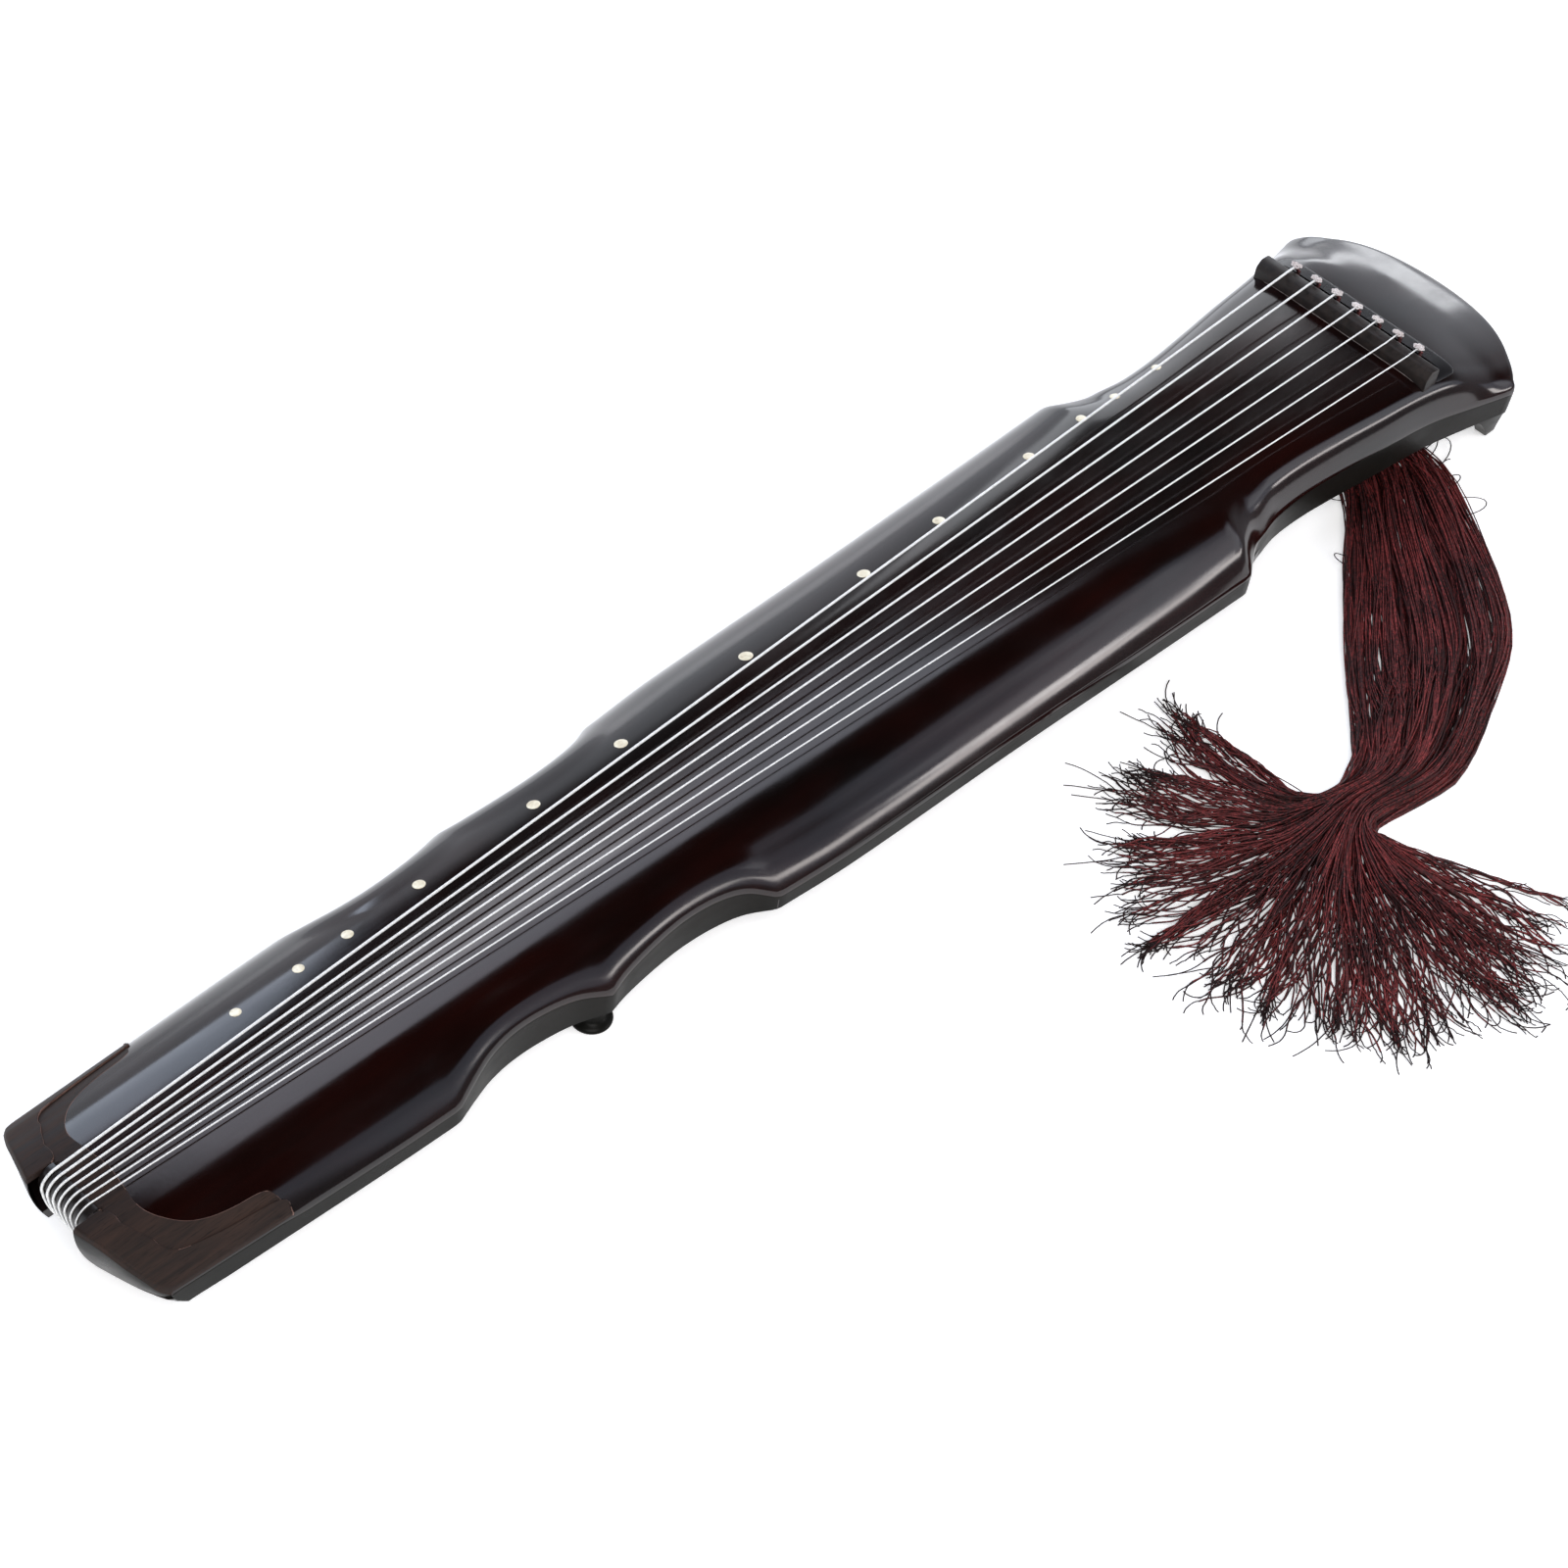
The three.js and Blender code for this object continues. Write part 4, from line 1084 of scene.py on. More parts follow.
    def lock(self, number: int, chance: random.Random) -> Lock:
        """Draws the course of one lock of threads.

        Args:
            number: the lock's number in its tassel.
            chance: the seeded chance.

        Returns:
            The course.
        """
        sway = chance.gauss(0, self.lock_sway)
        across = (number + 0.5) / self.locks + chance.gauss(0, self.lock_jitter)
        up = chance.random()
        drift = [0.0] * len(self.heights)
        for k in range(1, len(self.lane_left)):
            drift[k] = sway * math.sin(math.pi * k / self.lock_wave) + chance.gauss(0, self.lock_drift)
        turn, curl = chance.gauss(0, self.lock_turn), chance.gauss(0, self.lock_curl)
        usual, varied, least, most = self.lock_reach
        return Lock(across, up, drift, turn, curl, bounded(chance.gauss(usual, varied), least, most))

    def thread(self, i: int, lock: Lock, chance: random.Random) -> list[Vector]:
        """The route of one thread.

        Args:
            i: the tassel that it belongs to.
            lock: the course of its lock, which a free thread leaves.
            chance: the seeded chance.

        Returns:
            Its points, from under the head to its tip.
        """
        free = chance.random() < self.free_share
        across = chance.random() if free else lock.across + chance.gauss(0, self.held_loose)
        loose = self.free_loose if free else self.held_loose
        up = chance.random() if free else lock.up + chance.gauss(0, self.held_up)
        sway = chance.gauss(0, self.free_sway) if free else 0
        reach = lock.reach * (1 - abs(chance.gauss(0, self.reach_loss)))
        ends = chance.gauss(0, self.end_turn)
        waist = len(self.lane_left) - 1
        places = []
        for k, h in enumerate(self.heights):
            drift = sway * math.sin(math.pi * k / waist) if free else lock.drift[k]
            j = (i + across + drift + chance.gauss(0, loose) * (0 < k <= waist)) / self.count
            j = bounded(j, -self.over_edge, 1 + self.over_edge)
            dome = 1 - abs(2 * j - 1) ** 3 * self.dome_fall
            past, beyond = max(0, k - waist), max(0, k - waist - 1)
            bend = (lock.turn + ends) * past / 3 + (lock.curl + self.hook[i]) * beyond / 3
            bend += chance.gauss(0, self.fan_waver[beyond])
            own = math.tau * (self.fan_turn[1] - self.fan_turn[0]) * (j - (i + 0.5) / self.count)
            x, y = self.spot(k, j, reach, bounded(own + bend, -self.most_bend, self.most_bend) - own)
            y = max(y, self.near_edge + chance.gauss(0, self.edge_jitter)) if past else y
            level = bounded(up + chance.gauss(0, self.level_jitter), 0, 1)
            places.append((x, y, self.lift + self.thread_radius + h * self.heap_height * dome * level))
        return self.waved(self.route(places, self.steps), chance)

    def waved(self, points: list[Vector], chance: random.Random) -> list[Vector]:
        """Gives a thread its small waves, which grow in the fan.

        Args:
            points: its smooth route.
            chance: the seeded chance.

        Returns:
            The points, moved.
        """
        phase = [chance.uniform(0, math.tau) for _ in range(4)]
        pitch = [chance.uniform(*self.pace_share) for _ in range(2)]
        (twist_x, twist_y), (wander_x, wander_y) = self.twist_pace, self.wander_pace
        for n, point in enumerate(points):
            past = max(0, n - self.fan_step)
            size = self.twist_size + self.fan_twist_size * past / (self.steps - self.fan_step)
            wide = self.wander_size if n < self.fan_step - self.wander_fade else self.fan_wander_size
            turn_x, turn_y = phase[0] + twist_x * n * pitch[0], phase[2] + twist_y * n * pitch[1]
            wave_x, wave_y = phase[1] + wander_x * n * pitch[1], phase[3] + wander_y * n * pitch[0]
            point.x += size * math.sin(turn_x) + wide * math.sin(wave_x)
            point.y += size * math.cos(turn_y) + wide * math.sin(wave_y)
            point.z += self.rise_size * math.sin(phase[0] + self.rise_pace * n)
            point.z = max(point.z, self.lift + self.thread_radius)
        return points

    def tips(self, end: list[Vector], chance: random.Random) -> list[list[Vector]]:
        """The dark hair that a thread ends in: now and then two, or a long one.

        Args:
            end: the thread's points.
            chance: the seeded chance.

        Returns:
            The routes of its hairs.
        """
        ahead = (end[-1] - end[-3]).normalized()
        hairs = []
        for fork in range(2 if chance.random() < self.fork_share else 1):
            span = self.long_hair if chance.random() < self.long_share else self.hair_length
            long = chance.uniform(*span)
            turn = chance.gauss(0, self.hair_turn[0] + self.hair_turn[1] * fork)
            spin = chance.gauss(0, self.hair_spin)
            hair = [end[-1].copy()]
            for step in range(self.hair_points):
                way = Matrix.Rotation(turn + spin * step, 3, "Z") @ ahead
                at = hair[-1] + way * (long / self.hair_points)
                at.y = max(at.y, self.hair_edge)
                at.z = max(2 * self.lift, at.z + chance.gauss(*self.hair_lift))
                hair.append(at)
            hairs.append(hair)
        return hairs

    def kept(self, hair: list[Vector], core: list[Vector]) -> list[Vector]:
        """A hair cut off where it leaves its tassel too far.

        Args:
            hair: its points.
            core: the tassel's middle line.

        Returns:
            The points that stay.
        """
        near = [min((point - other).length for other in core) < self.spread for point in hair]
        count = near.index(False) if False in near else len(hair)
        return hair[:max(2, count)]

    def strays(self, side: float, count: int) -> list[list[Vector]]:
        """A few stray hairs and loops at one edge of the bundle.

        Args:
            side: the edge, 0 for the left and 1 for the right.
            count: how many there are.

        Returns:
            Their routes.
        """
        chance, hairs, high = random.Random(self.stray_seed), [], self.stray_height
        for _ in range(count):
            station = chance.uniform(*self.stray_places)
            low = int(station)
            here, ahead = (Vector((*self.spot(n, side), high)) for n in (low, low + 1))
            at = here.lerp(ahead, station - low)
            way = (ahead - here).normalized()
            out = Vector((way.y, -way.x, 0)) * (-1 if side else 1)
            if out.dot(at - Vector((*self.spot(low, 0.5), high))) < 0:
                out = -out
            long = chance.uniform(*self.stray_length)
            lean = chance.uniform(-self.stray_lean, self.stray_lean)
            loop = chance.random() < self.loop_share
            hair = [at - out * self.stray_start]
            for step in range(1, self.stray_steps + 1):
                share = step / self.stray_steps
                turn = math.pi * step / self.stray_steps
                reach = math.sin(turn) if loop else share
                along = (1 - math.cos(turn)) * 0.5 if loop else lean * share ** 2
                rise = Vector((0, 0, high * math.sin(turn)))
                hair.append(at + out * long * reach + way * long * along + rise)
            hairs.append(hair)
        return hairs

    def build(self, yarn: Material, tip_yarn: Material) -> None:
        """Makes each tassel's core, threads and frayed ends.

        Args:
            yarn: the finish of the threads.
            tip_yarn: the finish of the dark hairs at their ends.
        """
        for i in range(self.count):
            chance = random.Random(self.seed + i)
            core = self.core(i)
            locks = [self.lock(number, chance) for number in range(self.locks)]
            routes = [self.thread(i, locks[n % self.locks], chance) for n in range(self.threads[i])]
            shares = [chance.uniform(*self.thickness) for _ in routes]
            hairs = [self.kept(hair, core) for route in routes for hair in self.tips(route, chance)]
            hairs += self.strays(0.0, self.strays_left) if i == 0 else []
            hairs += self.strays(1.0, self.strays_right) if i == self.count - 1 else []
            taper = [1.0] * (len(core) - len(self.core_taper)) + [*self.core_taper]
            drawn = tube_curve(f"tassel_core_{i + 1}", [core], self.core_radius, yarn, 1, [taper])
            piece = add_piece(drawn, f"tassel_{i + 1}")
            drawn = tube_curve(f"tassel_threads_{i + 1}", routes, self.thread_radius, yarn, 0, shares)
            threads = add_piece(drawn)
            ends = add_piece(tube_curve(f"tassel_ends_{i + 1}", hairs, self.tip_radius, tip_yarn, 0))


# Lacquered body
@dataclass
class LacquerCoat:
    """The lacquer over the top and its sides: a fine shell just outside the wood, open at the nut."""

    proud: float = 0.00045
    skin: float = 0.0004
    rows: int = 250
    columns: int = 72
    arris: float = 0.0014
    arris_angle: float = 0.5
    crowd: float = 1.4137
    head_corner_x: float = 0.583
    side_steps: int = 10
    side_foot: float = 0.0003
    tail_zone: float = -0.56
    roof_ends: tuple = (-0.587, 0.441)
    roof_rows: int = 160
    roof_columns: int = 36
    roof_skin: float = 0.002
    wall: float = 0.012
    board: float = 0.009
    seat: float = 0.0095
    bend_start: float = 0.9
    bend_width: float = 0.1
    end_share: float = 0.01

    def lane(self, u: float, s: float) -> tuple[float, float, float]:
        """A point of the top, with the points crowded towards the sides.

        Args:
            u: the share along, from the tail.
            s: the share across, from -1 to 1.

        Returns:
            Its place.
        """
        across = math.sin(s * self.crowd) / math.sin(self.crowd)
        low = FORM.tail_x(across * FORM.tail_half)
        high = FORM.head_x(across * FORM.half_width(self.head_corner_x))
        x = low + (high - low) * u
        y = FORM.half_width(x) * across
        return x, y, FORM.rolled(x, y)

    def build(self, lacquer: Material, side: Material) -> None:
        """Makes the coat.

        Args:
            lacquer: the finish of the top.
            side: the duller finish of the side walls.
        """
        bm = grid_sheet(self.rows, self.columns, lambda u, v: self.lane(u, 2 * v - 1))
        for face in bm.faces:
            if face.normal.z < 0:
                face.normal_flip()
        rim = [edge for edge in bm.edges if edge.is_boundary]
        top = set(bm.faces)
        wall = rim
        for step in range(self.side_steps):
            made = bmesh.ops.extrude_edge_only(bm, edges=wall)
            edges = [item for item in made["geom"] if isinstance(item, bmesh.types.BMEdge)]
            wall = [edge for edge in edges if edge.is_boundary]
            for vert in new_verts(made):
                self.lower(vert, step)
        for face in bm.faces:
            face.material_index = 0 if face in top else 1
        bmesh.ops.recalc_face_normals(bm, faces=bm.faces[:])
        bevel(bm, [edge for edge in rim if edge.calc_face_angle(0) > self.arris_angle], self.arris, 4, 0)
        bm.normal_update()
        moves = [(vert, vert.normal * self.proud) for vert in bm.verts]
        for vert, move in moves:
            vert.co += move
        self.open_notch(bm)
        thicken(bm, self.skin)
        add_piece(finish_mesh(bm, "lacquer_coat", [lacquer, side], 40), "top_board")

    def lower(self, vert: bmesh.types.BMVert, step: int) -> None:
        """Takes a wall point to its next height, drawn in at the ends.

        Args:
            vert: the point.
            step: how many steps are above it.
        """
        x, y = vert.co.x, vert.co.y
        top = FORM.rolled(x, y)
        share = (step + 1) / self.side_steps
        z = top + (FORM.floor + self.side_foot - top) * share
        move = FORM.draw_in(x, y, z) - FORM.draw_in(x, y, vert.co.z)
        vert.co.z = z
        vert.co.x += move if x < 0 else -move

    def open_notch(self, bm: BMesh) -> None:
        """Cuts the coat away over the nut and the chin.

        Args:
            bm: the coat, before it is thickened.
        """
        half, across, along = FORM.notch_half, (0, 1, 0), (1, 0, 0)
        planes = (((0, half, 0), across), ((0, -half, 0), across), ((FORM.notch_x, 0, 0), along))
        for point, facing in planes:
            near = [item for item in [*bm.verts, *bm.edges, *bm.faces] if self.by_tail(item)]
            bmesh.ops.bisect_plane(bm, geom=near, dist=1e-6, plane_co=point, plane_no=facing)
        middles = [(face, face.calc_center_median()) for face in bm.faces]
        inside = [face for face, at in middles if at.x < FORM.notch_x and abs(at.y) < half]
        bmesh.ops.delete(bm, geom=inside, context="FACES")

    def by_tail(self, item: bmesh.types.BMVert | bmesh.types.BMEdge | bmesh.types.BMFace) -> bool:
        """Whether a part of the mesh lies at the tail's end."""
        verts = [item] if isinstance(item, bmesh.types.BMVert) else item.verts
        return all(vert.co.x < self.tail_zone for vert in verts)

    def roof(self, wood: Material) -> None:
        """Makes the dug-out underside of the top board, which shows through the sound holes.

        Args:
            wood: its finish.
        """
        low, high = self.roof_ends

        def place(u: float, v: float) -> tuple[float, float, float]:
            """A point of the roof, bent down at its sides to the lower board.

            Args:
                u: the share along.
                v: the share across.

            Returns:
                Its place.
            """
            x, across = low + (high - low) * u, 2 * v - 1
            y = across * (FORM.half_width(x) - self.wall)
            side = 1 - max(0.0, (abs(across) - self.bend_start) / self.bend_width) ** 2
            floor = FORM.floor + self.seat
            ends = min(1.0, min(u, 1 - u) / self.end_share)
            return x, y, floor + (FORM.top(x, y) - self.board - floor) * side * ends

        bm = grid_sheet(self.roof_rows, self.roof_columns, place)
        face_way(bm, up=False)
        thicken(bm, self.roof_skin)
        add_piece(finish_mesh(bm, "chamber_roof", [wood]))


# Hardwood at the tail end
def even(points: list[Vector], count: int) -> list[Vector]:
    """Points at even steps along a line.

    Args:
        points: the line.
        count: how many steps it gets.

    Returns:
        The new points.
    """
    spans = [(b - a).length for a, b in zip(points, points[1:])]
    total, made, k, passed = sum(spans), [], 0, 0.0
    for n in range(count + 1):
        goal = total * n / count
        while k < len(spans) - 1 and passed + spans[k] < goal:
            passed += spans[k]
            k += 1
        made.append(points[k].lerp(points[k + 1], min(1.0, (goal - passed) / max(spans[k], 1e-9))))
    return made


def mirrored(points: list[Vector], side: int) -> list[Vector]:
    """A line on one side of the middle."""
    return [Vector((p.x, p.y * side, 0)) for p in points]


@dataclass
class TailPlates:
    """The U-shaped band round the tail and the two raised corner plates that stand on it."""

    edge: Shares = field(default_factory=lambda: [
        (0.527, 0), (0.4865, 0.2838), (0.4784, 0.3892), (0.5, 0.477), (0.5581, 0.5676), (0.6892, 0.6824),
        (0.8568, 0.7527), (1.0541, 0.7905), (1.2446, 0.8068), (1.3419, 0.8378), (1.423, 1.0189)])
    ridge: Shares = field(default_factory=lambda: [
        (0.2297, 0.2784), (0.2716, 0.3176), (0.2919, 0.3784), (0.2919, 0.4554), (0.3162, 0.5041),
        (0.3595, 0.5919), (0.4068, 0.6662), (0.4257, 0.7284), (0.4878, 0.7959), (0.5703, 0.8297),
        (0.8932, 0.877), (1.3649, 0.9216), (1.423, 1.0189)])
    band_rise: float = 0.00075
    plate_rise: float = 0.0027
    lip_stops: tuple = ((0, 0, -0.0003), (0.00012, 0.72, 0), (0.00045, 0.93, 0), (0.0011, 1, 0))
    rim_stops: tuple = ((0.0016, 1, 0), (0.0007, 0.85, 0), (0.0001, 0.35, 0), (-0.0006, 0, -0.0012))
    middle_stops: int = 10
    inner_most: float = 0.2
    outer_most: float = 0.3
    lip: tuple = (0.00012, 0.00045)
    skin: float = 0.0005
    steps: int = 150
    fine_steps: int = 400
    rim_steps: int = 60

    def inner(self, table: Shares) -> list[Vector]:
        """One half of an inner edge, from its arm's tip towards the middle.

        Args:
            table: its shares.

        Returns:
            Its points.
        """
        rows = [(v, u) for u, v in table]
        low, high, half = rows[0][0], rows[-1][0], FORM.tail_half
        shares = [high + (low - high) * k / self.fine_steps for k in range(self.fine_steps + 1)]
        return [Vector((half * smooth(rows, v) - FORM.half_length, half * v, 0)) for v in shares]

    def rim(self) -> list[Vector]:
        """One half of the outer edge, from an arm's tip round the tail's corner to the notch.

        Returns:
            Its points.
        """
        half, steps, stop = FORM.tail_half, self.rim_steps, FORM.notch_half
        tip, corner, end = half * self.edge[-1][0], half * FORM.tail_end[-1][0], half * FORM.tail_end[-1][1]
        side = [tip + (corner - tip) * k / steps - FORM.half_length for k in range(steps)]
        across = [end + (stop - end) * k / steps for k in range(steps + 1)]
        points = [Vector((x, FORM.half_width(x), 0)) for x in side]
        return points + [Vector((FORM.tail_x(y), y, 0)) for y in across] + [Vector((FORM.notch_x, stop, 0))]

    def laid(self, name: str, pair: tuple, rise: float, finishes: list[Material]) -> bpy.types.Mesh:
        """A plate between an inner and an outer edge, with a rounded lip at the inner one, lighter in colour
        as wear and as a painted glint.

        Args:
            name: the plate's name.
            pair: the inner edge and the outer edge, with equally many points.
            rise: how far the plate stands above the lacquer.
            finishes: its finish and that of the lip, which is lighter as wear and as a painted glint.

        Returns:
            The mesh.
        """
        stops = [("in", at, share * rise + lift) for at, share, lift in self.lip_stops]
        stops += [("mid", k / self.middle_stops, rise) for k in range(1, self.middle_stops)]
        stops += [("out", at, share * rise + lift) for at, share, lift in self.rim_stops]
        inner, outer = pair
        last = len(stops) - 1

        def place(u: float, v: float) -> tuple[float, float, float]:
            """The place of a point of the plate.

            Args:
                u: the share along it.
                v: the share across it.

            Returns:
                Its place.
            """
            k = round(u * (len(inner) - 1))
            kind, value, up = stops[round(v * last)]
            across = outer[k] - inner[k]
            wide = max(across.length, 1e-6)
            reach = {"in": min(value, self.inner_most * wide), "mid": value * wide,
                     "out": wide - min(value, self.outer_most * wide)}[kind]
            spot = inner[k] + across * (reach / wide)
            return spot.x, spot.y, FORM.rolled(spot.x, spot.y) + up

        bm = grid_sheet(len(inner) - 1, last, place)
        bmesh.ops.remove_doubles(bm, verts=bm.verts[:], dist=MERGE)
        face_way(bm, up=True)
        # Lip faces get the lighter finish: wear with a painted glint along the inner edge.
        for face in bm.faces:
            face.material_index = int(self.on_lip(face, inner))
        thicken(bm, self.skin)
        return finish_mesh(bm, name, finishes, 45)

    def on_lip(self, face: bmesh.types.BMFace, inner: list[Vector]) -> bool:
        """Whether a face lies on the lip at the inner edge.

        Args:
            face: the face.
            inner: the edge.

        Returns:
            True if it does.
        """
        at = face.calc_center_median()
        near = min((Vector((at.x, at.y, 0)) - point).length for point in inner)
        return self.lip[0] < near < self.lip[1]

    def build(self, wood: Material, worn_glint: Material) -> None:
        """Makes the band and the corner plates.

        Args:
            wood: their finish.
            worn_glint: the finish of their lips.
        """
        end = [Vector((FORM.notch_x, 0, 0))]
        halves = [even(line, self.steps) for line in (self.inner(self.edge), self.rim() + end)]
        pair = tuple(half + mirrored(half[-2::-1], -1) for half in halves)
        band = self.laid("tail_band_fine", pair, self.band_rise, [wood, worn_glint])
        add_piece(band, "tail_band")
        for side in Side:
            lines = (self.inner(self.ridge), self.rim())
            pair = tuple(even(mirrored(line, side.value), self.steps) for line in lines)
            plate = self.laid(f"tail_plate_{side.label()}", pair, self.plate_rise, [wood, worn_glint])
            add_piece(plate, f"tail_corner_{side.label()}")
        log.info("tail band and corner plates")


# Strings, knots and the cords below them
@dataclass
class Strings:
    """Seven strings from their knots over the bridge and the nut to their turns round the feet."""

    thick: float = 0.00175
    thin: float = 0.001
    nut_spread: float = 0.0296
    crest: float = 0.0915
    crest_back: float = 0.5050
    clear: float = 0.0003
    nut_radius: float = 0.0096
    nut_centre: tuple = (-0.6173, 0.0670)
    nut_face: float = -0.6269
    nut_top: float = 0.0486
    nut_steps: int = 12
    face_shares: tuple = (0.66, 0.5, 0.34, 0.18, 0.05)
    edge_share: float = 0.3
    under_reach: float = 0.004
    under_drop: float = 0.0018
    winding_gap: float = 0.0005
    winding_start: float = 0.0035
    turns: float = 1.5
    turn_steps: int = 32
    on_far_foot: int = 4
    knot_back: float = 0.0124
    knot_z: float = 0.0931
    petals: tuple = ((0.5, 0.0036, 0.0013), (1.45, 0.0031, 0.0012), (2.5, 0.0034, 0.0013))
    petal_steps: int = 16
    petal_height: tuple = (0.0002, 0.0011)
    petal_squash: tuple = (0.75, 1.1)
    petal_jitter: float = 0.1
    petal_reach: float = 1.2
    petal_start: float = 0.0002
    petal_wave: float = 0.0004
    petal_rise: float = 0.0003
    petal_sway: tuple = (0.9, 1.1)
    knot_lift: float = 0.0002
    knot_seed: int = 70
    rings: tuple = ((0.0009, 0.0012), (-0.0004, 0.0017), (-0.0014, 0.0013))
    ring_steps: int = 14
    ring_squash: float = 0.8
    petal_radius: float = 0.00056
    cord_start: tuple = (0.0008, 0.0026)
    cord_entry: tuple = ((0.5193, 0.0006), (0.5213, 0.0012))
    cord_hole: float = 0.001
    plate_rise: float = 0.002
    cord_end: float = 0.0063
    cord_above: int = 12
    cord_below: int = 36
    cord_twist: float = 0.75
    cord_apart: float = 0.00062
    cord_radius: float = 0.00072

    def radius(self, i: int) -> float:
        """Half a string's thickness."""
        return (self.thick + (self.thin - self.thick) * i / (FORM.strings - 1)) / 2

    def face_x(self, z: float) -> float:
        """The tail's face in the notch at a height."""
        depth = max(0.0, (FORM.undercut_height - (z - FORM.floor)) / FORM.undercut_height)
        return self.nut_face + FORM.undercut * depth ** FORM.undercut_bend

    def nut_arc(self, radius: float, steps: int) -> list[tuple[float, float]]:
        """The quarter turn over the nut, in X and Z.

        Args:
            radius: its radius.
            steps: how many steps it is drawn in.

        Returns:
            Its points.
        """
        x, z = self.nut_centre
        turns = [math.pi / 2 * (1 + step / steps) for step in range(steps + 1)]
        return [(x + radius * math.cos(turn), z + radius * math.sin(turn)) for turn in turns]

    def winding(self, i: int) -> list[Vector]:
        """The turns round a foot.

        Args:
            i: the string.

        Returns:
            Their points, from the top down.
        """
        far = i < self.on_far_foot
        top = FORM.floor - self.winding_start
        for k in range(0 if far else self.on_far_foot, i):
            top -= math.floor(self.turns) * (self.radius(k) * 2 + self.winding_gap)
            top -= self.radius(k) + self.radius(k + 1) + self.winding_gap
        pitch = self.radius(i) * 2 + self.winding_gap
        reach = FORM.foot_neck + self.radius(i) + self.winding_gap
        side = 1 if far else -1
        points = []
        for step in range(int(self.turn_steps * self.turns) + 1):
            share = step / self.turn_steps
            angle = -math.pi / 2 * side + side * share * math.tau
            x, y = FORM.foot_x + reach * math.cos(angle), side * FORM.foot_y + reach * math.sin(angle)
            points.append(Vector((x, y, top - pitch * step / self.turn_steps)))
        return points

    def route(self, i: int) -> list[Vector]:
        """The middle line of one string.

        Args:
            i: the string.

        Returns:
            Its points, from the knot to the last turn.
        """
        off, y = self.radius(i) + self.clear, self.nut_spread * (0.5 - i / (FORM.strings - 1))
        crest, by = self.crest + off, FORM.string_y(i)
        points = [Vector((FORM.bridge_x + self.knot_back, by, self.knot_z))]
        points.append(Vector((self.crest_back, by, crest + self.clear)))
        points.append(Vector((FORM.bridge_x - self.clear, by, crest)))
        points += [Vector((x, y, z)) for x, z in self.nut_arc(self.nut_radius + off, self.nut_steps)]
        for share in self.face_shares:
            z = FORM.floor + self.nut_top * share
            points.append(Vector((self.face_x(z) - off, y, z - self.radius(i) / 4)))
        foot = self.face_x(FORM.floor)
        points.append(Vector((foot - off * self.edge_share, y, FORM.floor - off)))
        points.append(Vector((foot + self.under_reach, y, FORM.floor - self.under_drop - off)))
        return points + self.winding(i)

    def petal(self, at: Vector, k: int, side: int, chance: random.Random) -> list[Vector]:
        """One petal of a knot.

        Args:
            at: the knot's middle.
            k: which petal of its side it is.
            side: 1, or -1 for the mirrored side.
            chance: the seeded chance.

        Returns:
            Its points.
        """
        turn, size, wide = self.petals[k]
        turn = side * (turn + chance.gauss(0, self.petal_jitter))
        squash_x, squash_y = self.petal_squash
        out = Vector((math.cos(turn) * squash_x, math.sin(turn) * squash_y, 0))
        along = Vector((-math.sin(turn) * squash_x, math.cos(turn) * squash_y, 0))
        high = chance.uniform(*self.petal_height)
        points = []
        for step in range(self.petal_steps + 1):
            t = math.tau * step / self.petal_steps
            reach = size * (1 - math.cos(t)) / 2 * self.petal_reach + self.petal_start
            lift = high * math.sin(t / 2) + self.petal_wave * math.cos(t) + self.petal_rise * k
            sway = wide * chance.uniform(*self.petal_sway) * math.sin(t)
            points.append(at + out * reach + along * sway + Vector((0, 0, lift)))
        return points

    def knot_loops(self, i: int, chance: random.Random) -> list[list[Vector]]:
        """The petals of a fly-head knot: small loops of soft cord round a bight.

        Args:
            i: the string.
            chance: the seeded chance.

        Returns:
            The routes of the loops.
        """
        at = Vector((FORM.bridge_x + self.knot_back, FORM.string_y(i), self.knot_z + self.knot_lift))
        loops = [self.petal(at, k, side, chance) for side in (-1, 1) for k in range(len(self.petals))]
        turns = [math.tau * step / self.ring_steps for step in range(self.ring_steps + 1)]
        for z, wide in self.rings:
            narrow = wide * self.ring_squash
            loops.append([at + Vector((narrow * math.cos(t), wide * math.sin(t), z)) for t in turns])
        return loops

    def cord(self, i: int) -> list[list[Vector]]:
        """The two strands of a twisted tuning cord.

        Args:
            i: the string that it belongs to.

        Returns:
            Their routes.
        """
        y = FORM.string_y(i)
        plate = FORM.top(FORM.peg_x, y) + self.plate_rise
        start_x, start = self.cord_start
        (upper_x, upper), (lower_x, lower) = self.cord_entry
        stops = [(FORM.bridge_x + self.knot_back + start_x, self.knot_z - start),
                 (upper_x, (self.knot_z + plate) / 2 + upper), (lower_x, plate + lower),
                 (FORM.peg_x, plate - self.cord_hole), (FORM.peg_x, self.cord_end)]
        tables = [[(k, stop[axis]) for k, stop in enumerate(stops)] for axis in range(2)]
        above, apart = 3 * self.cord_above, self.cord_apart
        strands = []
        for first in (0, math.pi):
            route = []
            for n in range(above + self.cord_below + 1):
                place = n / self.cord_above if n < above else 3 + (n - above) / self.cord_below
                turn = first + n * self.cord_twist
                x, z = (smooth(table, place) for table in tables)
                route.append(Vector((x + apart * math.cos(turn), y + apart * math.sin(turn), z)))
            strands.append(route)
        return strands

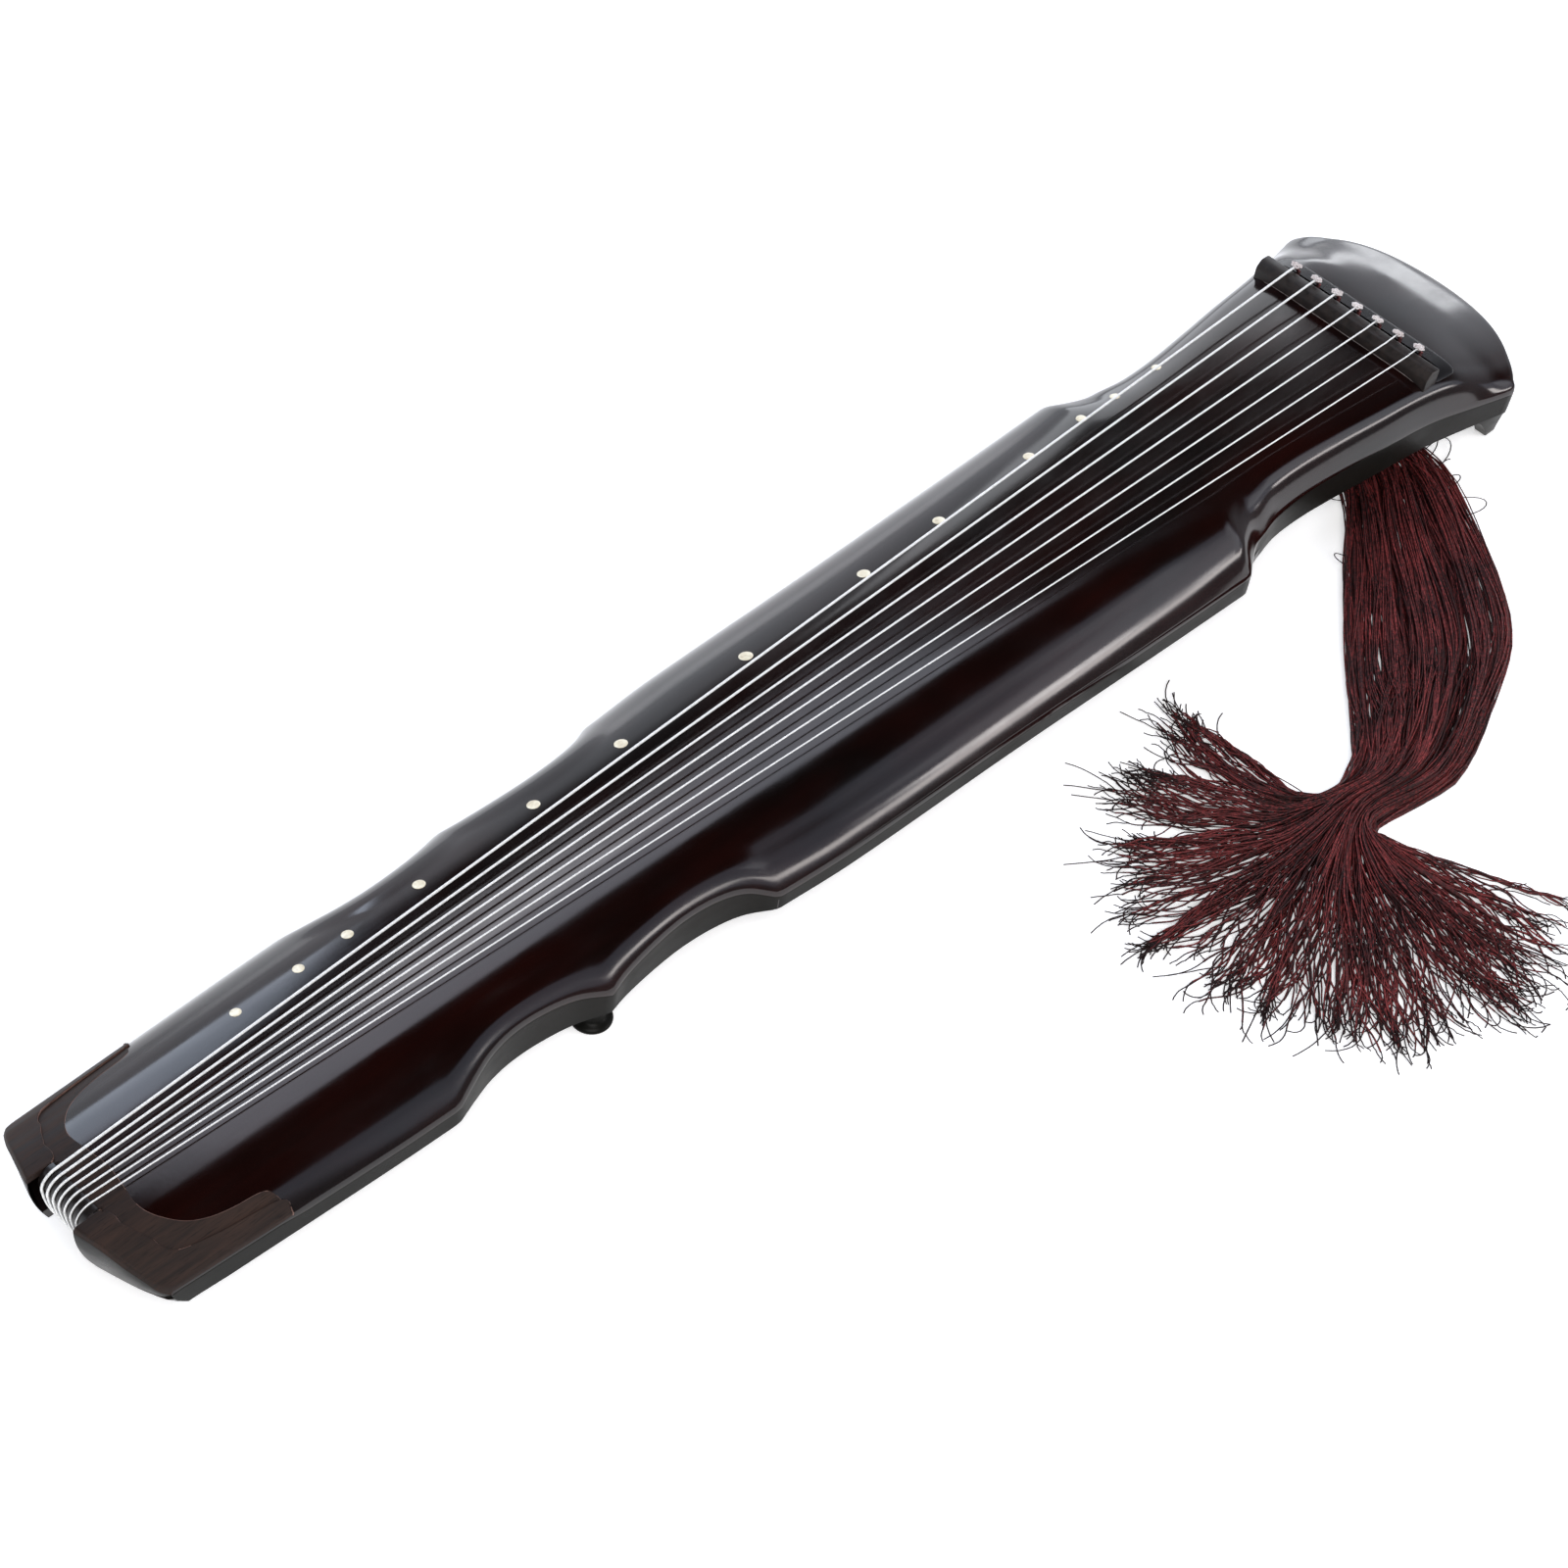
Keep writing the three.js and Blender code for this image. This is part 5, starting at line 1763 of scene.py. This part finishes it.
    def build(self, silk: Material, knot: Material, yarn: Material) -> None:
        """Makes the strings, their knots and their cords.

        Args:
            silk: the finish of the strings.
            knot: the finish of the flower knots.
            yarn: the finish of the tuning cords.
        """
        for i in range(FORM.strings):
            chance = random.Random(self.knot_seed + i)
            string = tube_curve(f"string_run_{i + 1}", [self.route(i)], self.radius(i), silk, 2)
            flower = tube_curve(f"fly_head_{i + 1}", self.knot_loops(i, chance), self.petal_radius, knot, 1)
            cord = tube_curve(f"twisted_cord_{i + 1}", self.cord(i), self.cord_radius, yarn, 1)
            add_piece(string, f"string_{i + 1}")
            add_piece(flower)
            add_piece(cord, f"tuning_cord_{i + 1}")
            log.info("string %d: knot, run, turns and cord", i + 1)


# Studs and nut
def crossbar(name: str, profile: Shares, half: float, rounding: float, wood: Material) -> bpy.types.Mesh:
    """A bar with one profile in X and Z, with rounded edges.

    Args:
        name: its name.
        profile: its points in X and Z.
        half: half its length across.
        rounding: how far its edges are rounded.
        wood: its finish.

    Returns:
        The mesh.
    """
    bm = bmesh.new()
    face = bm.faces.new([bm.verts.new((x, -half, z)) for x, z in profile])
    made = bmesh.ops.extrude_face_region(bm, geom=[face])
    bmesh.ops.translate(bm, vec=(0, 2 * half, 0), verts=new_verts(made))
    bmesh.ops.recalc_face_normals(bm, faces=bm.faces[:])
    bevel(bm, [edge for edge in bm.edges if abs(edge.verts[0].co.y - edge.verts[1].co.y) < 1e-7], rounding, 3)
    return finish_mesh(bm, name, [wood], 28)


@dataclass
class Fittings:
    """The studs and the nut."""

    stud_radius: float = 0.0048
    stud_row: float = 0.0621
    stud_drift: float = 0.0285
    stud_steps: int = 40
    stud_profile: tuple = ((0, 0, 0.00078), (0.6, 0, 0.00077), (1, -0.0004, 0.00072), (1, -0.0001, 0.0006),
                           (1, 0, 0.0004), (1, 0, -0.0010), (0, 0, -0.0010))
    stud_places: tuple = (1 / 8, 1 / 6, 1 / 5, 1 / 4, 1 / 3, 2 / 5, 1 / 2, 3 / 5, 2 / 3, 3 / 4, 4 / 5,
                          5 / 6, 7 / 8)
    stud_sizes: tuple = (0.74, 0.77, 0.8, 0.86, 0.9, 0.94, 1, 0.94, 0.9, 0.86, 0.8, 0.77, 0.74)
    nut_back: float = -0.6162
    nut_top: float = 0.0766
    nut_low: float = 0.0539
    nut_under: float = 0.0605
    nut_half: float = 0.020
    nut_steps: int = 16
    nut_rounding: float = 0.0006

    def stud(self, i: int, shell: Material) -> None:
        """Lets one round stud into the lacquer.

        Args:
            i: the stud.
            shell: its finish.
        """
        x, y = FORM.place(self.stud_places[i]), self.stud_row - self.stud_drift * self.stud_places[i]
        step = self.stud_radius / 2
        slope_x = (FORM.full(x + step, y) - FORM.full(x - step, y)) / (2 * step)
        slope_y = (FORM.full(x, y + step) - FORM.full(x, y - step)) / (2 * step)
        facing = Vector((-slope_x, -slope_y, 1)).normalized()
        r = self.stud_radius * self.stud_sizes[i]
        profile = [(r * share + out, z) for share, out, z in self.stud_profile]
        bm = turned(profile, Vector((0, 0, 0)), self.stud_steps)
        turn = Vector((0, 0, 1)).rotation_difference(facing).to_matrix().to_4x4()
        place = Matrix.Translation((x, y, FORM.full(x, y))) @ turn
        bmesh.ops.transform(bm, matrix=place, verts=bm.verts)
        add_piece(finish_mesh(bm, f"stud_disc_{i + 1}", [shell], 40), f"stud_{i + 1}")

    def nut(self, wood: Material, strings: Strings) -> None:
        """The rounded nut.

        Args:
            wood: its finish.
            strings: the strings, which turn over it.
        """
        profile = [(self.nut_back, self.nut_low), (self.nut_back, self.nut_top)]
        profile += strings.nut_arc(strings.nut_radius, self.nut_steps)
        profile += [(strings.face_x(z), z) for z in (self.nut_under, self.nut_low)]
        add_piece(crossbar("nut_bar", profile, self.nut_half, self.nut_rounding, wood), "nut")

    def build(self, shell: Material, ebony: Material, strings: Strings) -> None:
        """Makes the studs and the nut.

        Args:
            shell: the finish of the studs.
            ebony: the finish of the nut.
            strings: the strings, which turn over the nut.
        """
        for i in range(len(self.stud_places)):
            self.stud(i, shell)
        self.nut(ebony, strings)
        log.info("%d studs and the nut", len(self.stud_places))


# Bridge, head plate and head guards
@dataclass
class HeadEnd:
    """The bridge, the plate behind it, thin pale lines painted as glints where they meet the lacquer, and the
    guards under the head's corners.
    """

    bridge_front: float = 0.498
    bridge_back: float = 0.5125
    bridge_half: float = 0.079
    bridge_top: float = 0.0915
    bridge_low: float = 0.0605
    bridge_rounding: float = 0.0007
    front_slant: tuple = ((0, 0.0058), (0.0006, 0.0046), (0.0038, 0.0008), (0.005, 0.0001), (0.008, 0))
    back_round: tuple = ((0.0026, 0.0003), (0.0010, 0.0011), (0.0002, 0.0026), (0, 0.0045))
    plate: tuple = (0.5128, 0.5378)
    plate_half: float = 0.080
    plate_corner: float = 0.006
    corner_steps: int = 8
    least_corner: float = 0.0005
    plate_rise: float = 0.002
    plate_round: float = 0.0009
    plate_rings: int = 6
    plate_fall: tuple = ((0.0009, 1, 0), (0.00035, 0.9, 0), (0, 0.55, 0), (0, 0, -0.002))
    plate_merge: float = 0.00003
    plate_line_half: float = 0.072
    plate_steps: int = 220
    plate_skin: float = 0.0006
    # The thin pale lines are painted glints along the bridge's front and round the plate.
    line: float = 0.00024
    line_gap: float = 0.0003
    line_ahead: float = 0.0002
    line_height: float = 0.0005
    line_steps: int = 160
    guard_plan: tuple = ((0, 0), (0.5, 0), (1, 0), (1, 0.3), (0.99, 0.55), (0.95, 0.82), (0.88, 0.95),
                         (0.78, 1), (0.4, 1), (0, 1))
    guard_rings: int = 14
    guard_x: float = 0.556
    guard_lean: float = 0.025
    guard_top: float = 0.030
    guard_reach: float = 0.009
    guard_thick: float = 0.012
    guard_taper: float = 0.0016
    guard_foot: float = 0.0986
    guard_proud: float = 0.0004
    guard_bends: tuple = (0.8, 1.5)
    guard_rounding: float = 0.0008
    guard_sharp: float = 0.9
    guard_sharp_top: float = 0.02

    def bridge(self, wood: Material) -> None:
        """The tall bar that carries the strings, its front top edge cut at a slant.

        Args:
            wood: its finish.
        """
        front, back, top = self.bridge_front, self.bridge_back, self.bridge_top
        profile = [(front, self.bridge_low)]
        profile += [(front + along, top - down) for along, down in self.front_slant]
        profile += [(back - along, top - down) for along, down in self.back_round]
        profile += [(back, self.bridge_low)]
        bar = crossbar("bridge_bar", profile, self.bridge_half, self.bridge_rounding, wood)
        add_piece(bar, "bridge")

    def plate_edge(self, inset: float) -> list[Vector]:
        """The plate's outline: square at the bridge and round at the back corners.

        Args:
            inset: how far it is drawn in.

        Returns:
            Its points.
        """
        low, high = self.plate[0], self.plate[1] - inset
        half, r = self.plate_half - inset, max(self.least_corner, self.plate_corner - inset)
        points = [(low, -half)]
        for side in (-1, 1):
            for k in range(self.corner_steps + 1):
                turn = math.pi / 2 * (k / self.corner_steps if side < 0 else 1 - k / self.corner_steps)
                points.append((high - r + r * math.sin(turn), side * (half - r + r * math.cos(turn))))
        return [Vector((x, y, 0)) for x, y in [*points, (low, half)]]

    def head_plate(self, polish: Material) -> None:
        """The plate: rings from its middle line out over a rounded edge and down.

        Args:
            polish: its finish.
        """
        high, around = self.plate_rise, self.plate_round
        rings = [(k / self.plate_rings, 0.0, high) for k in range(self.plate_rings)]
        rings += [(1, inset, high * share + lift) for inset, share, lift in self.plate_fall]
        dense = even(self.plate_edge(around), self.plate_steps)
        middle = (self.plate[0] + self.plate[1]) / 2

        def place(u: float, v: float) -> tuple[float, float, float]:
            """A point of the plate.

            Args:
                u: the share along its outline.
                v: the share from its middle line outwards.

            Returns:
                Its place.
            """
            share, inset, rise = rings[round(v * (len(rings) - 1))]
            spot = dense[round(u * self.plate_steps)]
            line = Vector((middle, bounded(spot.y, -self.plate_line_half, self.plate_line_half), 0))
            at = line.lerp(spot, share)
            if share == 1:
                at = at + (spot - line).normalized() * (around - inset)
            return at.x, at.y, FORM.top(at.x, at.y) + rise

        bm = grid_sheet(self.plate_steps, len(rings) - 1, place)
        bmesh.ops.remove_doubles(bm, verts=bm.verts[:], dist=self.plate_merge)
        face_way(bm, up=True)
        thicken(bm, self.plate_skin)
        add_piece(finish_mesh(bm, "head_plate_fine", [polish], 45), "head_plate")

    def painted_glint_lines(self, painted_glint: Material) -> None:
        """Thin pale lines painted as glints where the bridge and the plate meet the lacquer.

        Args:
            painted_glint: their finish.
        """
        half, x = self.bridge_half, self.bridge_front - self.line_ahead
        bridge = [Vector((x, half, 0)), Vector((x, -half, 0))]
        bridge += [Vector((self.bridge_back, -half - self.line_gap, 0))]
        plate = self.plate_edge(-self.line_gap)
        # Each pale tube is a painted glint.
        for name, points in (("bridge_glue_line", bridge), ("plate_glue_line", plate)):
            spots = even(points, self.line_steps)
            route = [Vector((p.x, p.y, FORM.top(p.x, p.y) + self.line_height)) for p in spots]
            add_piece(tube_curve(name, [route], self.line, painted_glint, 1))

    def guard(self, side: Side, lacquer: Material) -> None:
        """A guard: the wall carried on under the head's corner, tapering to the floor.

        Args:
            side: the side that it stands on.
            lacquer: its finish.
        """
        plan, rings, (back_bend, front_bend) = self.guard_plan, self.guard_rings, self.guard_bends

        def place(u: float, v: float) -> tuple[float, float, float]:
            """A point of the guard.

            Args:
                u: the share round its plan.
                v: the share down its height.

            Returns:
                Its place.
            """
            drop = round(v * rings) / rings
            along, across = plan[round(u * len(plan)) % len(plan)]
            back = self.guard_x + self.guard_lean * drop ** back_bend
            front = self.guard_x + self.guard_top + self.guard_reach * drop ** front_bend
            x = back + (front - back) * along
            outer = FORM.half_width(x) * (1 - drop) + self.guard_foot * drop + self.guard_proud
            y = outer - (self.guard_thick - self.guard_taper * drop) * (1 - across)
            return x, side.value * y, (FORM.floor + self.guard_proud) * (1 - drop)

        bm = grid_sheet(len(plan), rings, place)
        bmesh.ops.remove_doubles(bm, verts=bm.verts[:], dist=MERGE)
        bmesh.ops.holes_fill(bm, edges=[edge for edge in bm.edges if edge.is_boundary], sides=0)
        bmesh.ops.recalc_face_normals(bm, faces=bm.faces[:])
        sharp = [edge for edge in bm.edges if edge.calc_face_angle(0) > self.guard_sharp]
        sharp = [edge for edge in sharp if max(vert.co.z for vert in edge.verts) < self.guard_sharp_top]
        bevel(bm, sharp, self.guard_rounding, 3)
        mesh = finish_mesh(bm, f"guard_fine_{side.label()}", [lacquer], 38)
        add_piece(mesh, f"guard_{side.label()}")

    def build(self, finishes: dict[str, Material]) -> None:
        """Makes the bridge, the plate, the pale lines painted as glints, and the guards.

        Args:
            finishes: the finishes by name.
        """
        self.bridge(finishes["bridge"])
        self.head_plate(finishes["plate"])
        self.painted_glint_lines(finishes["painted_glint"])
        for side in Side:
            self.guard(side, finishes["side"])
        # The pale lines that this message names are painted glints.
        log.info("bridge, head plate, glue lines and guards")


# Turned feet and pegs
@dataclass
class TurnedWork:
    """The two feet and the seven pegs, turned with fine beads and rounded edges.

    A foot's tables hold shares of the neck's or the base's radius and of its height. A peg's tables hold
    what is added to the radius, and shares of its height.
    """

    foot_steps: int = 64
    foot_base: float = 0.0135
    foot_top: float = 0.0277
    foot_necked: tuple = ((0, 1), (1, 1), (1, 0.72), (0.985, 0.62), (0.97, 0.5), (0.98, 0.36), (1.0, 0.26),
                          (1.08, 0.205), (1.22, 0.17))
    foot_flared: tuple = ((0.84, 0.145), (0.93, 0.12), (0.985, 0.095), (1, 0.065), (0.99, 0.03),
                          (0.955, 0.008), (0.92, 0), (0, 0))
    peg_steps: int = 40
    peg_low: float = 0.006
    peg_top: float = 0.0477
    flange: float = 0.007
    waist: float = 0.0046
    grip: float = 0.0063
    bore: float = 0.0022
    flange_edge: tuple = ((-0.0004, 1), (0, 0.99), (0, 0.94), (-0.0006, 0.925))
    waist_beads: tuple = ((0.0004, 0.85), (0, 0.82), (0, 0.70), (0.0006, 0.685), (0.0006, 0.66), (0, 0.645),
                          (0, 0.60), (0.0006, 0.53))
    swell: tuple = (0.75, 0.43)
    grip_start: tuple = ((-0.00005, 0.37), (0, 0.33))
    grooves: int = 5
    groove_top: float = 0.30
    groove_pitch: float = 0.05
    groove: tuple = ((0, 0), (-0.0003, 0.008), (-0.0003, 0.014), (0, 0.022))
    grip_end: tuple = ((-0.0002, 0.062), (-0.0009, 0.03))
    tip: tuple = ((0, 0.004), (-0.0005, 0))

    def foot(self, side: Side, lacquer: Material) -> None:
        """One foot: a neck that holds the string turns, over a flared base.

        Args:
            side: the side that it stands on.
            lacquer: its finish.
        """
        profile = [(r * FORM.foot_neck, share * self.foot_top) for r, share in self.foot_necked]
        profile += [(r * self.foot_base, share * self.foot_top) for r, share in self.foot_flared]
        bm = turned(profile, Vector((FORM.foot_x, side.value * FORM.foot_y, 0)), self.foot_steps)
        mesh = finish_mesh(bm, f"foot_turned_{side.label()}", [lacquer], 50)
        add_piece(mesh, f"foot_{side.label()}")

    def peg(self, i: int, wood: Material) -> None:
        """One hollow peg, with a bead at its waist and grooves round its grip.

        Args:
            i: the peg.
            wood: its finish.
        """
        low, top = self.peg_low, self.peg_top
        swollen, at_share = self.swell
        outer = [(self.flange + out, share) for out, share in self.flange_edge]
        outer += [(self.waist + out, share) for out, share in self.waist_beads]
        outer += [(self.waist + (self.grip - self.waist) * swollen, at_share)]
        outer += [(self.grip + out, share) for out, share in self.grip_start]
        for k in range(self.grooves):
            at = self.groove_top - self.groove_pitch * k
            outer += [(self.grip + out, at - down) for out, down in self.groove]
        outer += [(self.grip + out, share) for out, share in self.grip_end]
        outer += [(self.waist + out, share) for out, share in self.tip]
        profile = [(self.bore, low), (self.bore, top)]
        profile += [(r, low + share * (top - low)) for r, share in outer] + [(self.bore, low)]
        bm = turned(profile, Vector((FORM.peg_x, FORM.string_y(i), 0)), self.peg_steps)
        mesh = finish_mesh(bm, f"peg_turned_{i + 1}", [wood], 35)
        add_piece(mesh, f"peg_{i + 1}", f"peg_body_{i + 1}")

    def build(self, lacquer: Material, wood: Material) -> None:
        """Makes the feet and the pegs.

        Args:
            lacquer: the finish of the feet.
            wood: the finish of the pegs.
        """
        for side in Side:
            self.foot(side, lacquer)
        for i in range(FORM.strings):
            self.peg(i, wood)
        log.info("2 feet and %d pegs", FORM.strings)


# The whole instrument
def dress(node: str, finish: Material) -> None:
    """Gives a solid of the frame, which shows as it is, its finish.

    Args:
        node: its name.
        finish: the finish.
    """
    solid = frame["nodes"][node]
    for target in [solid, *solid.children_recursive]:
        if target.type == "MESH":
            target.data.materials.clear()
            target.data.materials.append(finish)


def all_finishes() -> dict[str, Material]:
    """Makes the finishes of the instrument, apart from those of the tassels.

    Returns:
        The finishes by name.
    """
    chosen = {
        "lacquer": Lacquer(),
        "under": Lacquer("lacquer_under", (0.008, 0.006, 0.006), (0.014, 0.006, 0.006), 0.3),
        "side": Lacquer("lacquer_side", (0.0062, 0.0064, 0.0056), (0.0105, 0.0085, 0.0072), 0.3, 0.07),
        "rosewood": Hardwood("rosewood", (0.0075, 0.0046, 0.004), (0.040, 0.021, 0.015), 0.6, specular=0.2),
        "bridge": Hardwood("bridge_wood", (0.007, 0.0052, 0.0046), (0.024, 0.016, 0.013), 0.45,
                           specular=0.25),
        "plate": Lacquer("plate_polish", (0.0045, 0.0042, 0.0048), (0.0085, 0.0062, 0.0066), 0.25, 0.3),
        # Pale finish for the lines painted as glints at the bridge and the plate.
        "painted_glint": Hardwood("glue_line", (0.04, 0.03, 0.028), (0.36, 0.31, 0.29), 0.6, 0, (60, 60, 60)),
        # Lighter rosewood for the lips: wear and a painted glint along the inner edges.
        "worn_glint": Hardwood("rosewood_worn", (0.07, 0.034, 0.026), (0.27, 0.16, 0.13), 0.55),
        "ebony": Hardwood("ebony", (0.006, 0.005, 0.005), (0.018, 0.014, 0.013), 0.3, 0.3),
        "pegs": Hardwood("peg_wood", (0.02, 0.010, 0.008), (0.075, 0.032, 0.022), 0.4, 0.2, (150, 150, 12)),
        "bare": PlainWood(),
        "shell": Shell(),
        "silk": WoundString(),
        "knot": Thread("knot_silk", (0.45, 0.38, 0.37), (0.88, 0.84, 0.82), 1400, 0.55, 0.2)}
    return {name: finish.make() for name, finish in chosen.items()}


def main() -> None:
    """Builds the guqin over its frame, in the order that it is put together."""
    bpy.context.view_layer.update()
    PhotoView().build()
    # The last value, 0.96, is how strongly painted shade darkens the threads where they face down or
    # sideways.
    yarn = Thread("wine_yarn", (0.020, 0.0022, 0.0024), (0.36, 0.050, 0.050), 500, 0.6, 0, 0.96).make()
    tip_yarn = Thread("wine_yarn_tips", (0.003, 0.001, 0.001), (0.026, 0.005, 0.005), 700, 0.7).make()
    Tassels().build(yarn, tip_yarn)
    Studio().build()
    finishes = all_finishes()
    coat = LacquerCoat()
    coat.build(finishes["lacquer"], finishes["side"])
    coat.roof(finishes["bare"])
    log.info("lacquer coat and dug-out roof")
    TailPlates().build(finishes["rosewood"], finishes["worn_glint"])
    strings = Strings()
    strings.build(finishes["silk"], finishes["knot"], yarn)
    Fittings().build(finishes["shell"], finishes["ebony"], strings)
    HeadEnd().build(finishes)
    TurnedWork().build(finishes["side"], finishes["pegs"])
    for node, finish in (("bottom_board", "under"), ("peg_plate", "rosewood"), ("heaven_post", "bare"),
                         ("earth_post", "bare"), ("tail_chin", "ebony")):
        dress(node, finishes[finish])


if __name__ == "__main__":
    main()
